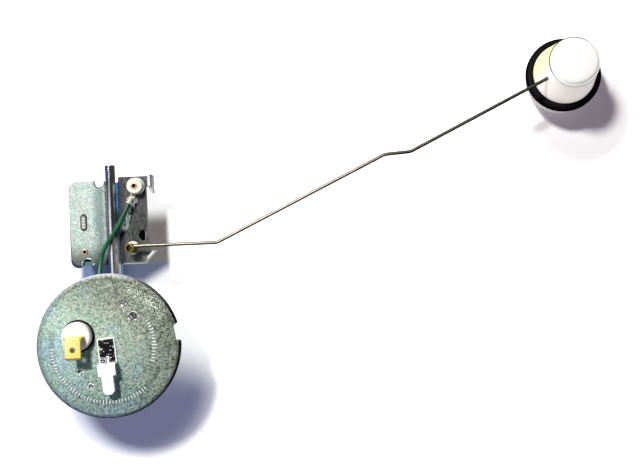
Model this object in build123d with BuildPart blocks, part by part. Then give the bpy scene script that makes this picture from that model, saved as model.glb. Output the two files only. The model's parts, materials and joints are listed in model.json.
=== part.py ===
from build123d import *
from math import asin, atan2, cos, degrees, hypot, pi, radians, sin, sqrt, tan
import os

# Fuel level sender for a tank: a round pressed flange with two blade terminals,
# a support rod behind it, a resistor housing on the rod and a float on a bent wire arm.
# Millimetres. The origin is the centre of the flange at the lower edge of its rim,
# which is the plane that seats on the tank. +Z points out of the tank, +Y runs along
# the support rod towards the housing, and +X towards the float.

# Flange disc
disc_radius = 30.0
disc_sheet = 1.2
face_z = 3.4                 # outer face above the seat plane
rim_bend = 1.8               # outside radius of the rolled rim
notch_angle = 9.0            # place of the locating notch round the rim, in degrees
notch_width = 6.0
notch_depth = 1.8
notch_flare = 1.0            # how much wider the notch is at the rim, on each side
weld_points = [(11.1, 12.1), (7.2, 17.3), (-11.8, -10.1), (-7.5, -16.4)]
weld_mark_radius = 1.7
weld_mark_depth = 0.35

# Gauge terminal: a brass blade through a white insulator
terminal_x = -11.8
terminal_y = 4.85
insulator_radius = 6.0
insulator_height = 3.2
insulator_round = 0.7
spigot_radius = 4.0
spigot_clearance = 0.1
gasket_radius = 6.7
gasket_thickness = 0.8
inner_insulator_radius = 5.6
inner_insulator_height = 2.0
blade_sheet = 0.8
blade_width = 6.35
blade_reach = 9.2            # from the back of the riser to the tip
blade_lift = 4.2             # top face of the blade above the insulator
blade_fold = 1.1             # outside radius of the fold
blade_tip_cut = 0.5
blade_tip_bevel = 0.3
blade_hole_radius = 0.9
blade_hole_from_tip = 4.1
shoulder_width = 7.3
tail_width = 3.2
tail_end = 1.4               # tail standing through the inner tag
inner_tag_sheet = 0.6
inner_tag_radius = 3.2
inner_tag_width = 2.6
inner_tag_reach = 6.6

# Earth terminal: a tinned tag welded to the disc, with a raised blade
earth_x = -0.55
earth_y = 3.5
earth_turn = 4.8             # degrees from -Y towards +X
earth_sheet = 0.8
earth_foot_width = 7.3
earth_foot_length = 10.0
earth_lift = 4.9             # top face of the blade above the disc
earth_reach = 12.6
earth_wide_reach = 5.0
earth_narrow_width = 4.8
earth_bend = 1.1
earth_tip_cut = 1.3
earth_dimple_radius = 0.9
earth_dimple_depth = 0.25
earth_dimple_from_tip = 4.3
gusset_width = 1.6
gusset_size = 2.4

# Rod and the bracket that carries it behind the disc
rod_radius = 2.1
rod_z = -11.8
rod_top_y = 76.3
rod_foot_y = -21.5
rod_end_chamfer = 0.3
braze_gap = 0.05
bracket_sheet = 1.5
bracket_web = 8.4            # width of the straight part under the rod
bracket_half_length = 19.5
bracket_foot_out = 14.6      # outer edge of each welded foot
bracket_foot_in = 8.0        # inner edge of each welded foot, along Y
bracket_round = 3.0
ear_relief_width = 1.0       # slot that lets an ear fold beside its foot
ear_relief_length = 2.6
ear_fold = 2.0               # outside radius of an ear's fold
ear_wall = 1.9               # metal round the rod in each ear

# Housing plate, folded from one sheet
plate_sheet = 1.0
plate_z = -12.8              # front face
plate_left = -18.8
plate_right = 14.8
plate_top = 71.2             # of the right wing
left_top = 69.9              # of the left wing
plate_bottom = 33.2
plate_round = 3.6
lower_step = 0.7             # the plate is this much wider below the side hole
lower_step_y = 42.2
chamfer_size = 2.2
groove_mouth = 3.0           # half the width of the rod groove at the face
groove_floor = 1.6           # half the width of its flat floor
groove_flat = 1.6            # flat kept on each side of the groove section
groove_round = 0.4
relief_depth = 2.3           # cut back of the groove at the plate's top edge
relief_round = 0.8
tongue_end = 21.6            # where the groove's tongue ends behind the disc
top_notch_x = -5.3
top_notch_y = 69.1
top_notch_radius = 2.0
top_notch_mouth = 2.8        # width of its opening at the plate's edge
scallop_x = -11.6
scallop_y = 33.9
scallop_radius = 2.2
lobe_radius = 3.2
lobe_drop = 0.9
slot_x = -12.6
slot_y = 52.0
slot_width = 3.0
slot_length = 7.4
side_hole_x = 12.9
side_hole_y = 45.6
side_hole_radius = 1.7
side_hole_half_height = 2.4

# Stops for the arm, folded up from the plate
stop_height = 8.6            # above the plate's front face
upper_stop_x = 17.8          # inner face of the upper stop
upper_stop_low = 63.6
upper_stop_top_low = 66.2
upper_neck_low = 66.4
stop_foot_height = 2.15      # height where a stop's edge begins to slope
stop_fold = 1.3              # outside radius of the folds at the stops
lower_stop_start = (14.0, 33.4)
lower_stop_end = (19.3, 38.45)
lower_stop_slope = 3.65      # run of the lower stop's sloped edge
stop_gap = 0.3               # the arm's clearance from a stop at the end of its swing

# Housing cover, a drawn can soldered to the back of the plate
cover_wall = 0.8
cover_back_z = -27.6
cover_left = -17.6
cover_right = 14.4
cover_back_right = 12.0       # the right wall slopes in to here at the back
cover_top = 70.1
cover_bottom = 34.2
cover_slope_x = 4.5          # the upper left corner is cut off from here
cover_slope_y = 58.0         # down to here
cover_round = 3.0
cover_back_round = 1.0
cover_flange = 0.9
flange_setback = 0.1         # the flange stays inside the plate's edge
groove_relief = 0.5          # room for the groove in the cover's wall

# Pivot of the arm
pivot_x = 8.4
pivot_y = 40.1
running_gap = 0.05
end_play = 0.2
bush_flange_radius = 3.05
bush_flange = 0.7
bush_round = 0.35
bush_radius = 2.0
bush_back = 2.2              # barrel behind the plate
journal_radius = 1.25
hub_radius = 2.15
hub_top_z = -5.8
hub_round = 0.35
hub_bore_radius = 1.4
hub_bore_depth = 2.3
wiper_seat_radius = 2.2
wiper_seat_z = -20.6         # face that the wiper is staked against
wiper_seat_length = 3.0
rear_journal_radius = 1.0
rear_bush_radius = 1.7
rear_flange_radius = 2.6
rear_flange = 0.6
rear_inside = 2.2            # barrel inside the cover
clip_groove_radius = 0.7
clip_sheet = 0.5
clip_radius = 2.2
clip_mouth = 1.1
spindle_tip = 0.6            # spindle beyond its clip

# Float arm, bent from round wire
wire_radius = 0.75
wire_z = -7.1
wire_offset = 0.85           # the wire passes the pivot's centre at this distance
wire_start_x = 8.8
bend_1 = (45.7, 40.95)
bend_2 = (118.9, 75.4)
bend_3 = (130.0, 76.1)
float_centre = (200.0, 109.7)
wire_in_float = 1.6          # wire beyond the float's axis
bend_radii = [6.0, 7.0, 7.0]

# Float: two moulded shells clamped by a rubber ring, from the wire's level
float_tilt = 6.8             # degrees, about the wire's last run
float_wall = 1.4
dome_top = 8.8
dome_crown = 1.1             # rise of the crown over its edge
dome_shoulder = 4.2          # level where the dome's side begins
ring_top = -10.1
ring_height = 4.8
ring_round = 1.5
base_radius = 14.75
ring_stand = 1.55            # the ring stands out from the base by this much
skirt_step = 1.25            # the upper shell is this much smaller than the base
dome_taper = 2.7             # from the skirt in to the dome's side
dome_edge_inset = 2.4        # from the dome's side in to the edge of its crown
base_end = -23.6
base_round = 3.0
spigot_height = 2.2
float_boss_radius = 2.4
float_fit = 0.05

# Resistor: a curved card with its winding, centred on the pivot
card_inner = 21.1
card_sheet = 1.1
card_top_z = -16.4
card_height = 8.6
card_start = 91.5            # degrees round the pivot
card_end = 180.5
winding_start = 97.5
winding_end = 174.0
winding_wall = 0.3
turn_height = 0.15
turn_pitch = 2.25            # degrees
turn_share = 0.55            # share of the pitch that the wire fills
contact_gap = 0.1

# Wiper: a springy strip with a silver contact
wiper_rest = 106.5           # degrees round the pivot with the arm at rest
wiper_sheet = 0.5
wiper_ring_radius = 2.6
wiper_root = 4.2
wiper_tip = 2.6
wiper_tab_height = 2.6
contact_radius = 0.9
contact_head = 0.6
contact_round = 0.36

# Lead terminal on the plate
lead_x = 11.0
lead_y = 66.8
lead_base_radius = 3.7
lead_base_height = 1.8
lead_cap_radius = 3.4
lead_cap_height = 2.2
lead_washer_round = 0.4
lead_spigot_radius = 2.0
lead_inner_radius = 2.3
lead_inner_height = 1.2
lead_tag_sheet = 0.5
lead_tag_ring = 2.9
lead_tag_width = 2.2
eyelet_radius = 1.25
eyelet_bore = 0.9
eyelet_head_radius = 1.5
eyelet_head = 0.4
eyelet_round = 0.18
plate_eyelet_x = -12.7
plate_eyelet_y = 39.2
plate_eyelet_radius = 1.05
plate_eyelet_bore = 0.75
plate_eyelet_head_radius = 1.4
clip_strip = 0.5
clip_width = 3.0
clip_leg = 5.4
clip_leg_width = 1.8
clip_trim_angle = 10.0       # how far past the card's ends a clip is trimmed to it
clip_trim_inner = 10.5
live_clip_foot_radius = 2.1

# Support of the card, pegged in the plate's slot
post_width = 4.4
post_length = 8.8
post_depth = 10.6
peg_clearance = 0.15

# Signal lead, held at both ends
lead_radius = 0.9
lead_bend_share = 0.45       # share of the shorter run that a bend may use
crimp_wall = 0.4
crimp_length = 2.8
crimp_back = 0.7             # crimp behind the end of the lead
lead_route = [
    (8.9, 61.2, -9.8),
    (6.8, 56.4, -9.0),
    (4.3, 51.4, -8.3),
    (1.1, 46.1, -8.1),
    (-2.3, 41.5, -8.2),
    (-4.3, 36.9, -8.1),
    (-4.8, 31.8, -7.2),
    (-5.3, 26.6, -5.6),
    (-6.9, 21.4, -4.0),
    (-9.3, 16.6, -2.7),
    (-11.2, 12.4, -1.7),
    (-11.8, 8.4, -1.35),
]

# Levels and places that follow from the sizes above
under_z = face_z - disc_sheet
insulator_base_z = face_z + gasket_thickness
insulator_top_z = insulator_base_z + insulator_height
inner_insulator_z = under_z - inner_insulator_height
inner_tag_z = inner_insulator_z - inner_tag_sheet
blade_top_z = insulator_top_z + blade_lift
plate_back_z = plate_z - plate_sheet
groove_depth = plate_z - (rod_z - rod_radius) + braze_gap
groove_slope = atan2(groove_depth, groove_mouth - groove_floor)
bend_shift = plate_sheet * tan(groove_slope / 2)
pivot = (pivot_x, pivot_y)
terminal = (terminal_x, terminal_y)
lead_terminal = (lead_x, lead_y)
card_outer = card_inner + card_sheet
winding_inner = card_inner - winding_wall - turn_height
winding_outer = card_outer + winding_wall + turn_height
lead_tag_z = plate_z + lead_base_height
lead_cap_z = lead_tag_z + lead_tag_sheet
lead_inner_z = plate_back_z - lead_inner_height
rear_face_z = cover_back_z - rear_flange
skirt_radius = base_radius - skirt_step
ring_radius = base_radius + ring_stand
dome_radius = skirt_radius - dome_taper
dome_edge = dome_radius - dome_edge_inset
crown_sphere = (dome_edge**2 + dome_crown**2) / (2 * dome_crown)
clip_top_z = rear_face_z - end_play


def polar(centre, radius, angle):
    """Point at a radius and an angle in degrees round a centre."""
    return (centre[0] + radius * cos(radians(angle)), centre[1] + radius * sin(radians(angle)))


def ring_piece(centre, bottom_z, height, outer, bore, rounding=0.0):
    """Plain washer, with both outer edges rounded where a radius is given."""
    with BuildPart() as washer:
        with BuildSketch(Plane.XY.offset(bottom_z)):
            with Locations(centre):
                Circle(outer)
                Circle(bore, mode=Mode.SUBTRACT)
        extrude(amount=height)
        if rounding:
            rims = washer.edges().filter_by(GeomType.CIRCLE).group_by(SortBy.RADIUS)[-1]
            fillet(rims, rounding)
    return washer


def tube_rivet(centre, head_z, head_radius, barrel, bore, foot_z):
    """Hollow rivet: a head on top, a barrel, and a rolled rim below foot_z."""
    with BuildPart() as rivet:
        with BuildSketch(Plane.XY.offset(head_z)):
            with Locations(centre):
                Circle(head_radius)
        extrude(amount=eyelet_head)
        with BuildSketch(Plane.XY.offset(head_z)):
            with Locations(centre):
                Circle(barrel)
        extrude(amount=foot_z - head_z)
        with BuildSketch(Plane.XY.offset(foot_z)):
            with Locations(centre):
                Circle(head_radius)
        extrude(amount=-eyelet_head)
        rims = rivet.edges().filter_by(GeomType.CIRCLE).group_by(SortBy.RADIUS)[-1]
        fillet(rims, eyelet_round)
        with Locations((centre[0], centre[1], head_z + eyelet_head)):
            Hole(radius=bore)
    return rivet


def arc_band(inner, outer, start, end):
    """Sector of a ring round the pivot, as a sketch."""
    with BuildSketch() as band:
        with BuildLine():
            CenterArc(pivot, outer, start, end - start)
            CenterArc(pivot, inner, start, end - start)
            Line(polar(pivot, inner, start), polar(pivot, outer, start))
            Line(polar(pivot, inner, end), polar(pivot, outer, end))
        make_face()
    return band.sketch


# Flange disc: a shallow cup pressed from sheet, with a locating notch in its rim
with BuildPart() as flange_disc:
    far_side = Plane(origin=(0, 0, 0), x_dir=(-1, 0, 0), z_dir=(0, 1, 0))
    with BuildSketch(far_side) as disc_section:
        with BuildLine():
            Polyline(
                (0, face_z),
                (disc_radius, face_z),
                (disc_radius, 0),
                (disc_radius - disc_sheet, 0),
                (disc_radius - disc_sheet, under_z),
                (0, under_z),
                close=True,
            )
        make_face()
        corners = disc_section.vertices()
        outer_corner = corners.sort_by_distance((disc_radius, face_z))[0]
        inner_corner = corners.sort_by_distance((disc_radius - disc_sheet, under_z))[0]
        fillet(outer_corner, rim_bend)
        inner_corner = disc_section.vertices().sort_by_distance((disc_radius - disc_sheet, under_z))[0]
        fillet(inner_corner, rim_bend - disc_sheet)
    revolve(axis=Axis.Z)
    notch_plane = Plane.XY.rotated((0, 0, notch_angle))
    with BuildSketch(notch_plane):
        with BuildLine():
            Polyline(
                (disc_radius - notch_depth, -notch_width / 2),
                (disc_radius + notch_depth, -notch_width / 2 - 2 * notch_flare),
                (disc_radius + notch_depth, notch_width / 2 + 2 * notch_flare),
                (disc_radius - notch_depth, notch_width / 2),
                close=True,
            )
        make_face()
    extrude(amount=face_z, mode=Mode.SUBTRACT)
    with Locations((terminal_x, terminal_y, face_z)):
        Hole(radius=spigot_radius + spigot_clearance, depth=disc_sheet)
    mark_sphere = (weld_mark_radius**2 + weld_mark_depth**2) / (2 * weld_mark_depth)
    with Locations([(x, y, face_z - weld_mark_depth + mark_sphere) for x, y in weld_points]):
        Sphere(mark_sphere, mode=Mode.SUBTRACT)

# Gauge terminal
terminal_gasket = ring_piece(
    terminal, face_z, gasket_thickness, gasket_radius, spigot_radius + spigot_clearance
)

with BuildPart() as terminal_insulator:
    with BuildSketch(Plane.XY.offset(insulator_base_z)):
        with Locations(terminal):
            Circle(insulator_radius)
    extrude(amount=insulator_height)
    top_rim = terminal_insulator.faces().sort_by(Axis.Z)[-1].edges()
    fillet(top_rim, insulator_round)
    with BuildSketch(Plane.XY.offset(insulator_base_z)):
        with Locations(terminal):
            Circle(spigot_radius)
    extrude(amount=inner_insulator_z + inner_insulator_height / 2 - insulator_base_z)
    with BuildSketch(Plane.XY.offset(insulator_top_z)):
        with Locations(terminal):
            Rectangle(tail_width + 2 * running_gap, blade_sheet + 2 * running_gap)
    extrude(amount=inner_insulator_z - insulator_top_z, mode=Mode.SUBTRACT)

with BuildPart() as inner_insulator:
    with BuildSketch(Plane.XY.offset(inner_insulator_z)):
        with Locations(terminal):
            Circle(inner_insulator_radius)
    extrude(amount=inner_insulator_height)
    low_rim = inner_insulator.faces().sort_by(Axis.Z)[0].edges()
    fillet(low_rim, insulator_round)
    with Locations((terminal_x, terminal_y, under_z)):
        Hole(radius=spigot_radius + running_gap, depth=inner_insulator_height / 2)
    with BuildSketch(Plane.XY.offset(inner_insulator_z)):
        with Locations(terminal):
            Rectangle(tail_width + 2 * running_gap, blade_sheet + 2 * running_gap)
    extrude(amount=inner_insulator_height, mode=Mode.SUBTRACT)

riser_back = terminal_y + blade_sheet / 2
blade_tip_y = riser_back - blade_reach
with BuildPart() as terminal_blade:
    with BuildSketch(Plane.YZ.offset(terminal_x)) as blade_side:
        with BuildLine():
            Polyline(
                (riser_back, insulator_top_z),
                (riser_back, blade_top_z),
                (blade_tip_y, blade_top_z),
                (blade_tip_y, blade_top_z - blade_sheet),
                (riser_back - blade_sheet, blade_top_z - blade_sheet),
                (riser_back - blade_sheet, insulator_top_z),
                close=True,
            )
        make_face()
        fold_out = blade_side.vertices().sort_by_distance((riser_back, blade_top_z))[0]
        fillet(fold_out, blade_fold)
        fold_in = blade_side.vertices().sort_by_distance(
            (riser_back - blade_sheet, blade_top_z - blade_sheet)
        )[0]
        fillet(fold_in, blade_fold - blade_sheet)
    extrude(amount=shoulder_width / 2, both=True)
    side_cut = (shoulder_width - blade_width) / 2
    blade_length = riser_back - blade_fold - blade_tip_y
    with BuildSketch(Plane.XY.offset(blade_top_z)):
        for side in (-1, 1):
            cut_x = terminal_x + side * (blade_width + side_cut) / 2
            with Locations((cut_x, blade_tip_y + blade_length / 2)):
                Rectangle(side_cut, blade_length)
            with BuildLine():
                Polyline(
                    (terminal_x + side * blade_width / 2, blade_tip_y),
                    (terminal_x + side * blade_width / 2, blade_tip_y + blade_tip_cut),
                    (terminal_x + side * (blade_width / 2 - blade_tip_cut), blade_tip_y),
                    close=True,
                )
            make_face()
    extrude(amount=-blade_sheet, mode=Mode.SUBTRACT)
    tip_edges = terminal_blade.edges().filter_by(Axis.X).group_by(Axis.Y)[0]
    chamfer(tip_edges, blade_tip_bevel)
    with Locations((terminal_x, blade_tip_y + blade_hole_from_tip, blade_top_z)):
        Hole(radius=blade_hole_radius, depth=blade_sheet)
    with BuildSketch(Plane.XY.offset(insulator_top_z)):
        with Locations(terminal):
            Rectangle(tail_width, blade_sheet)
    extrude(amount=inner_tag_z - tail_end - insulator_top_z)

with BuildPart() as inner_tag:
    with BuildSketch(Plane.XY.offset(inner_tag_z)):
        with Locations(terminal):
            Circle(inner_tag_radius)
        with Locations((terminal_x, terminal_y + inner_tag_reach / 2)):
            SlotOverall(inner_tag_reach + inner_tag_width, inner_tag_width, rotation=90)
        with Locations(terminal):
            Rectangle(tail_width + 2 * running_gap, blade_sheet + 2 * running_gap, mode=Mode.SUBTRACT)
    extrude(amount=inner_tag_sheet)

# Earth terminal: foot, riser and blade along one direction
earth_along = Vector(sin(radians(earth_turn)), -cos(radians(earth_turn)), 0)
earth_origin = Vector(earth_x, earth_y, face_z)
earth_side = Plane(origin=earth_origin, x_dir=earth_along, z_dir=earth_along.cross(Vector(0, 0, 1)))
earth_flat = Plane(origin=earth_origin, x_dir=earth_along, z_dir=(0, 0, 1))
earth_tip = earth_foot_length + earth_reach
with BuildPart() as earth_terminal:
    with BuildSketch(earth_side) as earth_section:
        with BuildLine():
            Polyline(
                (0, 0),
                (earth_foot_length + earth_sheet, 0),
                (earth_foot_length + earth_sheet, earth_lift - earth_sheet),
                (earth_tip, earth_lift - earth_sheet),
                (earth_tip, earth_lift),
                (earth_foot_length, earth_lift),
                (earth_foot_length, earth_sheet),
                (0, earth_sheet),
                close=True,
            )
        make_face()
        for place, radius in (
            ((earth_foot_length + earth_sheet, 0), earth_bend),
            ((earth_foot_length, earth_sheet), earth_bend - earth_sheet),
            ((earth_foot_length, earth_lift), earth_bend),
            ((earth_foot_length + earth_sheet, earth_lift - earth_sheet), earth_bend - earth_sheet),
        ):
            fillet(earth_section.vertices().sort_by_distance(place)[0], radius)
    extrude(amount=earth_foot_width / 2, both=True)
    narrow_from = earth_foot_length + earth_wide_reach
    narrow_cut = (earth_foot_width - earth_narrow_width) / 2
    with BuildSketch(earth_flat.offset(earth_lift)):
        for side in (-1, 1):
            middle = side * (earth_narrow_width + narrow_cut) / 2
            with Locations(((narrow_from + earth_tip) / 2, middle)):
                Rectangle(earth_tip - narrow_from, narrow_cut)
            with BuildLine():
                Polyline(
                    (earth_tip, side * earth_narrow_width / 2),
                    (earth_tip - earth_tip_cut, side * earth_narrow_width / 2),
                    (earth_tip, side * (earth_narrow_width / 2 - earth_tip_cut)),
                    close=True,
                )
            make_face()
    extrude(amount=-earth_sheet, mode=Mode.SUBTRACT)
    with BuildSketch(earth_side):
        with BuildLine():
            Polyline(
                (earth_foot_length - gusset_size, earth_sheet),
                (earth_foot_length, earth_sheet),
                (earth_foot_length, earth_sheet + gusset_size),
                close=True,
            )
        make_face()
    extrude(amount=gusset_width / 2, both=True)
    dimple_sphere = (earth_dimple_radius**2 + earth_dimple_depth**2) / (2 * earth_dimple_depth)
    dimple_plane = earth_flat.offset(earth_lift - earth_dimple_depth + dimple_sphere)
    with Locations(dimple_plane.location * Location((earth_tip - earth_dimple_from_tip, 0, 0))):
        Sphere(dimple_sphere, mode=Mode.SUBTRACT)

# Bracket behind the disc: a sheet with two welded feet and two ears that hold the rod
ear_low_z = rod_z - rod_radius - ear_wall
with BuildPart() as rod_bracket:
    with BuildSketch(Plane.XY.offset(under_z)) as bracket_flat:
        Rectangle(bracket_web, 2 * bracket_half_length)
        foot_middle = (bracket_foot_in + bracket_half_length) / 2
        foot_length = bracket_half_length - bracket_foot_in
        for side in (-1, 1):
            with Locations((side * bracket_foot_out / 2, side * foot_middle)):
                Rectangle(bracket_foot_out, foot_length)
        outer_corners = bracket_flat.vertices().group_by(lambda corner: round(abs(corner.X), 3))[-1]
        fillet(outer_corners, bracket_round)
        for side in (-1, 1):
            relief_x = side * (bracket_web + ear_relief_width) / 2
            with Locations((relief_x, side * (bracket_half_length - ear_relief_length / 2))):
                Rectangle(ear_relief_width, ear_relief_length, mode=Mode.SUBTRACT)
    extrude(amount=-bracket_sheet)
    for side in (-1, 1):
        ear_plane = Plane(origin=(0, side * bracket_half_length, 0), x_dir=(1, 0, 0), z_dir=(0, -side, 0))
        up = ear_plane.y_dir.Z
        with BuildSketch(ear_plane):
            with Locations((0, up * (under_z + rod_z) / 2)):
                Rectangle(2 * (rod_radius + ear_wall), under_z - rod_z)
            with Locations((0, up * rod_z)):
                Circle(rod_radius + ear_wall)
                Circle(rod_radius + braze_gap, mode=Mode.SUBTRACT)
        extrude(amount=bracket_sheet)
    for side in (-1, 1):
        fold_point = Vector(0, side * bracket_half_length, under_z)
        fillet(rod_bracket.edges().sort_by_distance(fold_point)[0], ear_fold)

with BuildPart() as support_rod:
    with BuildSketch(Plane.XZ.offset(-rod_top_y)):
        with Locations((0, rod_z)):
            Circle(rod_radius)
    extrude(amount=rod_top_y - rod_foot_y)
    chamfer(support_rod.edges().filter_by(GeomType.CIRCLE), rod_end_chamfer)

# Housing plate: flat wings either side of the rod groove, a tongue, and two folded stops
section_half = groove_mouth + groove_flat
lower_dir = Vector(
    lower_stop_end[0] - lower_stop_start[0], lower_stop_end[1] - lower_stop_start[1], 0
).normalized()
with BuildPart() as housing_plate:
    with BuildSketch(Plane.XY.offset(plate_z)) as plate_outline:
        with BuildLine():
            Polyline(
                (plate_left, plate_bottom),
                (plate_left, left_top),
                (0, left_top),
                (0, plate_top),
                (plate_right, plate_top),
                (plate_right, side_hole_y),
                (plate_right + lower_step, lower_step_y),
                (plate_right + lower_step, plate_bottom + chamfer_size),
                (plate_right + lower_step - chamfer_size, plate_bottom),
                close=True,
            )
        make_face()
        left_corners = plate_outline.vertices().group_by(Axis.X)[0]
        fillet(left_corners, plate_round)
        with Locations((plate_left + lobe_radius, plate_bottom + lobe_radius - lobe_drop)):
            Circle(lobe_radius)
        with Locations((0, (plate_top + plate_bottom) / 2)):
            Rectangle(2 * section_half, 2 * (plate_top - plate_bottom), mode=Mode.SUBTRACT)
    extrude(amount=-plate_sheet)
    with BuildSketch(Plane.XZ.offset(-plate_top)) as groove_section:
        with BuildLine():
            Polyline(
                (-section_half, plate_z),
                (-groove_mouth, plate_z),
                (-groove_floor, plate_z - groove_depth),
                (groove_floor, plate_z - groove_depth),
                (groove_mouth, plate_z),
                (section_half, plate_z),
                (section_half, plate_back_z),
                (groove_mouth + bend_shift, plate_back_z),
                (groove_floor + bend_shift, plate_back_z - groove_depth),
                (-groove_floor - bend_shift, plate_back_z - groove_depth),
                (-groove_mouth - bend_shift, plate_back_z),
                (-section_half, plate_back_z),
                close=True,
            )
        make_face()
        inner_bends = groove_section.vertices().filter_by(lambda v: abs(v.X) < section_half - running_gap)
        fillet(inner_bends, groove_round)
    extrude(amount=plate_top - plate_bottom)
    with BuildSketch(Plane.XZ.offset(-plate_bottom)):
        add(groove_section.sketch_local)
        Rectangle(2 * groove_mouth, 2 * abs(plate_z - 2 * plate_sheet - groove_depth), mode=Mode.INTERSECT)
    extrude(amount=plate_bottom - tongue_end)
    with BuildSketch(Plane.XY.offset(plate_z)) as cut_outs:
        with Locations((0, plate_top)):
            RectangleRounded(2 * groove_mouth, 2 * relief_depth, relief_round)
        with Locations((-section_half, left_top)):
            Rectangle(
                2 * (section_half - groove_mouth),
                2 * (plate_top - left_top),
                align=(Align.CENTER, Align.MIN),
            )
        with Locations((top_notch_x, top_notch_y)):
            Circle(top_notch_radius)
        with Locations((top_notch_x, top_notch_y + top_notch_radius)):
            Rectangle(top_notch_mouth, 2 * top_notch_radius)
        with Locations((scallop_x, scallop_y)):
            Circle(scallop_radius)
        with Locations((slot_x, slot_y)):
            SlotOverall(slot_length, slot_width, rotation=90)
        with Locations((side_hole_x, side_hole_y)):
            Ellipse(side_hole_radius, side_hole_half_height)
        with Locations((plate_eyelet_x, plate_eyelet_y)):
            Circle(plate_eyelet_radius + running_gap)
        with Locations(lead_terminal):
            Circle(lead_spigot_radius + running_gap)
        with Locations(pivot):
            Circle(bush_radius + running_gap)
    extrude(amount=plate_sheet + groove_depth, both=True, mode=Mode.SUBTRACT)
    with BuildSketch(Plane.XY.offset(plate_z)):
        with Locations(((plate_right + upper_stop_x) / 2, (upper_neck_low + plate_top) / 2)):
            Rectangle(upper_stop_x - plate_right + 2 * plate_sheet, plate_top - upper_neck_low)
    extrude(amount=-plate_sheet)
    with BuildSketch(Plane.YZ.offset(upper_stop_x)):
        with BuildLine():
            Polyline(
                (upper_stop_low, plate_back_z),
                (plate_top, plate_back_z),
                (plate_top, plate_z + stop_height),
                (upper_stop_top_low, plate_z + stop_height),
                (upper_stop_low, plate_z + stop_foot_height),
                close=True,
            )
        make_face()
    extrude(amount=plate_sheet)
    lower_plane = Plane(
        origin=(lower_stop_start[0], lower_stop_start[1], plate_back_z),
        x_dir=lower_dir,
        z_dir=lower_dir.cross(Vector(0, 0, 1)),
    )
    lower_length = hypot(
        lower_stop_end[0] - lower_stop_start[0], lower_stop_end[1] - lower_stop_start[1]
    )
    with BuildSketch(lower_plane):
        with BuildLine():
            Polyline(
                (0, 0),
                (lower_length, 0),
                (lower_length, plate_sheet + stop_height),
                (lower_stop_slope, plate_sheet + stop_height),
                (0, plate_sheet + stop_foot_height),
                close=True,
            )
        make_face()
    extrude(amount=plate_sheet / 2, both=True)
    upper_fold = Vector(upper_stop_x + plate_sheet, (upper_neck_low + plate_top) / 2, plate_back_z)
    fillet(housing_plate.edges().sort_by_distance(upper_fold)[0], stop_fold)

# Housing cover: a drawn can with a narrow rim flange
with BuildSketch() as cover_outline:
    with BuildLine():
        Polyline(
            (cover_left, cover_bottom),
            (cover_left, cover_slope_y),
            (cover_slope_x, cover_top),
            (cover_right, cover_top),
            (cover_right, cover_bottom),
            close=True,
        )
    make_face()
    fillet(cover_outline.vertices(), cover_round)

with BuildSketch() as inside_outline:
    add(cover_outline.sketch)
    offset(amount=-cover_wall, mode=Mode.REPLACE)


def beyond_slope(inset):
    """What lies beyond the can's sloping right wall, or beyond its inside at an inset."""
    with BuildPart() as beyond:
        with BuildSketch(Plane.XZ.offset(-cover_top)):
            with BuildLine():
                Polyline(
                    (cover_right - inset, plate_back_z),
                    (2 * cover_right, plate_back_z),
                    (2 * cover_right, cover_back_z),
                    (cover_back_right - inset, cover_back_z),
                    close=True,
                )
            make_face()
        extrude(amount=cover_top - cover_bottom)
    return beyond.part


with BuildPart() as can_inside:
    with BuildSketch(Plane.XY.offset(cover_back_z + cover_wall)):
        add(inside_outline.sketch)
    extrude(amount=plate_back_z - cover_back_z - cover_wall)
    add(beyond_slope(cover_wall), mode=Mode.SUBTRACT)

with BuildPart() as housing_cover:
    with BuildSketch(Plane.XY.offset(cover_back_z)):
        add(cover_outline.sketch)
    extrude(amount=plate_back_z - cover_back_z)
    back_rim = housing_cover.faces().sort_by(Axis.Z)[0].edges()
    fillet(back_rim, cover_back_round)
    add(beyond_slope(0), mode=Mode.SUBTRACT)
    add(can_inside.part, mode=Mode.SUBTRACT)
    with BuildSketch(Plane.XY.offset(plate_back_z)):
        add(cover_outline.sketch)
        offset(amount=cover_flange, mode=Mode.REPLACE)
        with Locations(((plate_left + plate_right) / 2, (plate_bottom + plate_top) / 2)):
            Rectangle(
                plate_right - plate_left - 2 * flange_setback,
                plate_top - plate_bottom - 2 * flange_setback,
                mode=Mode.INTERSECT,
            )
        add(inside_outline.sketch, mode=Mode.SUBTRACT)
    extrude(amount=-cover_wall)
    with Locations((0, (cover_top + cover_bottom) / 2, plate_back_z)):
        Box(
            2 * (groove_mouth + bend_shift + groove_relief),
            2 * (cover_top - cover_bottom),
            2 * (groove_depth + groove_relief),
            mode=Mode.SUBTRACT,
        )
    with Locations((pivot_x, pivot_y, cover_back_z)):
        Hole(radius=rear_bush_radius + running_gap)

# Pivot: a flanged bush in the plate and another in the cover's back
with BuildPart() as pivot_bush:
    with BuildSketch(Plane.XY.offset(plate_z)):
        with Locations(pivot):
            Circle(bush_flange_radius)
    extrude(amount=bush_flange)
    fillet(pivot_bush.faces().sort_by(Axis.Z)[-1].edges(), bush_round)
    with BuildSketch(Plane.XY.offset(plate_z)):
        with Locations(pivot):
            Circle(bush_radius)
    extrude(amount=-plate_sheet - bush_back)
    with Locations((pivot_x, pivot_y, plate_z + bush_flange)):
        Hole(radius=journal_radius + running_gap)

with BuildPart() as rear_bush:
    with BuildSketch(Plane.XY.offset(cover_back_z)):
        with Locations(pivot):
            Circle(rear_flange_radius)
    extrude(amount=-rear_flange)
    with BuildSketch(Plane.XY.offset(cover_back_z)):
        with Locations(pivot):
            Circle(rear_bush_radius)
    extrude(amount=cover_wall + rear_inside)
    with Locations((pivot_x, pivot_y, cover_back_z + cover_wall + rear_inside)):
        Hole(radius=rear_journal_radius + running_gap)

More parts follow.
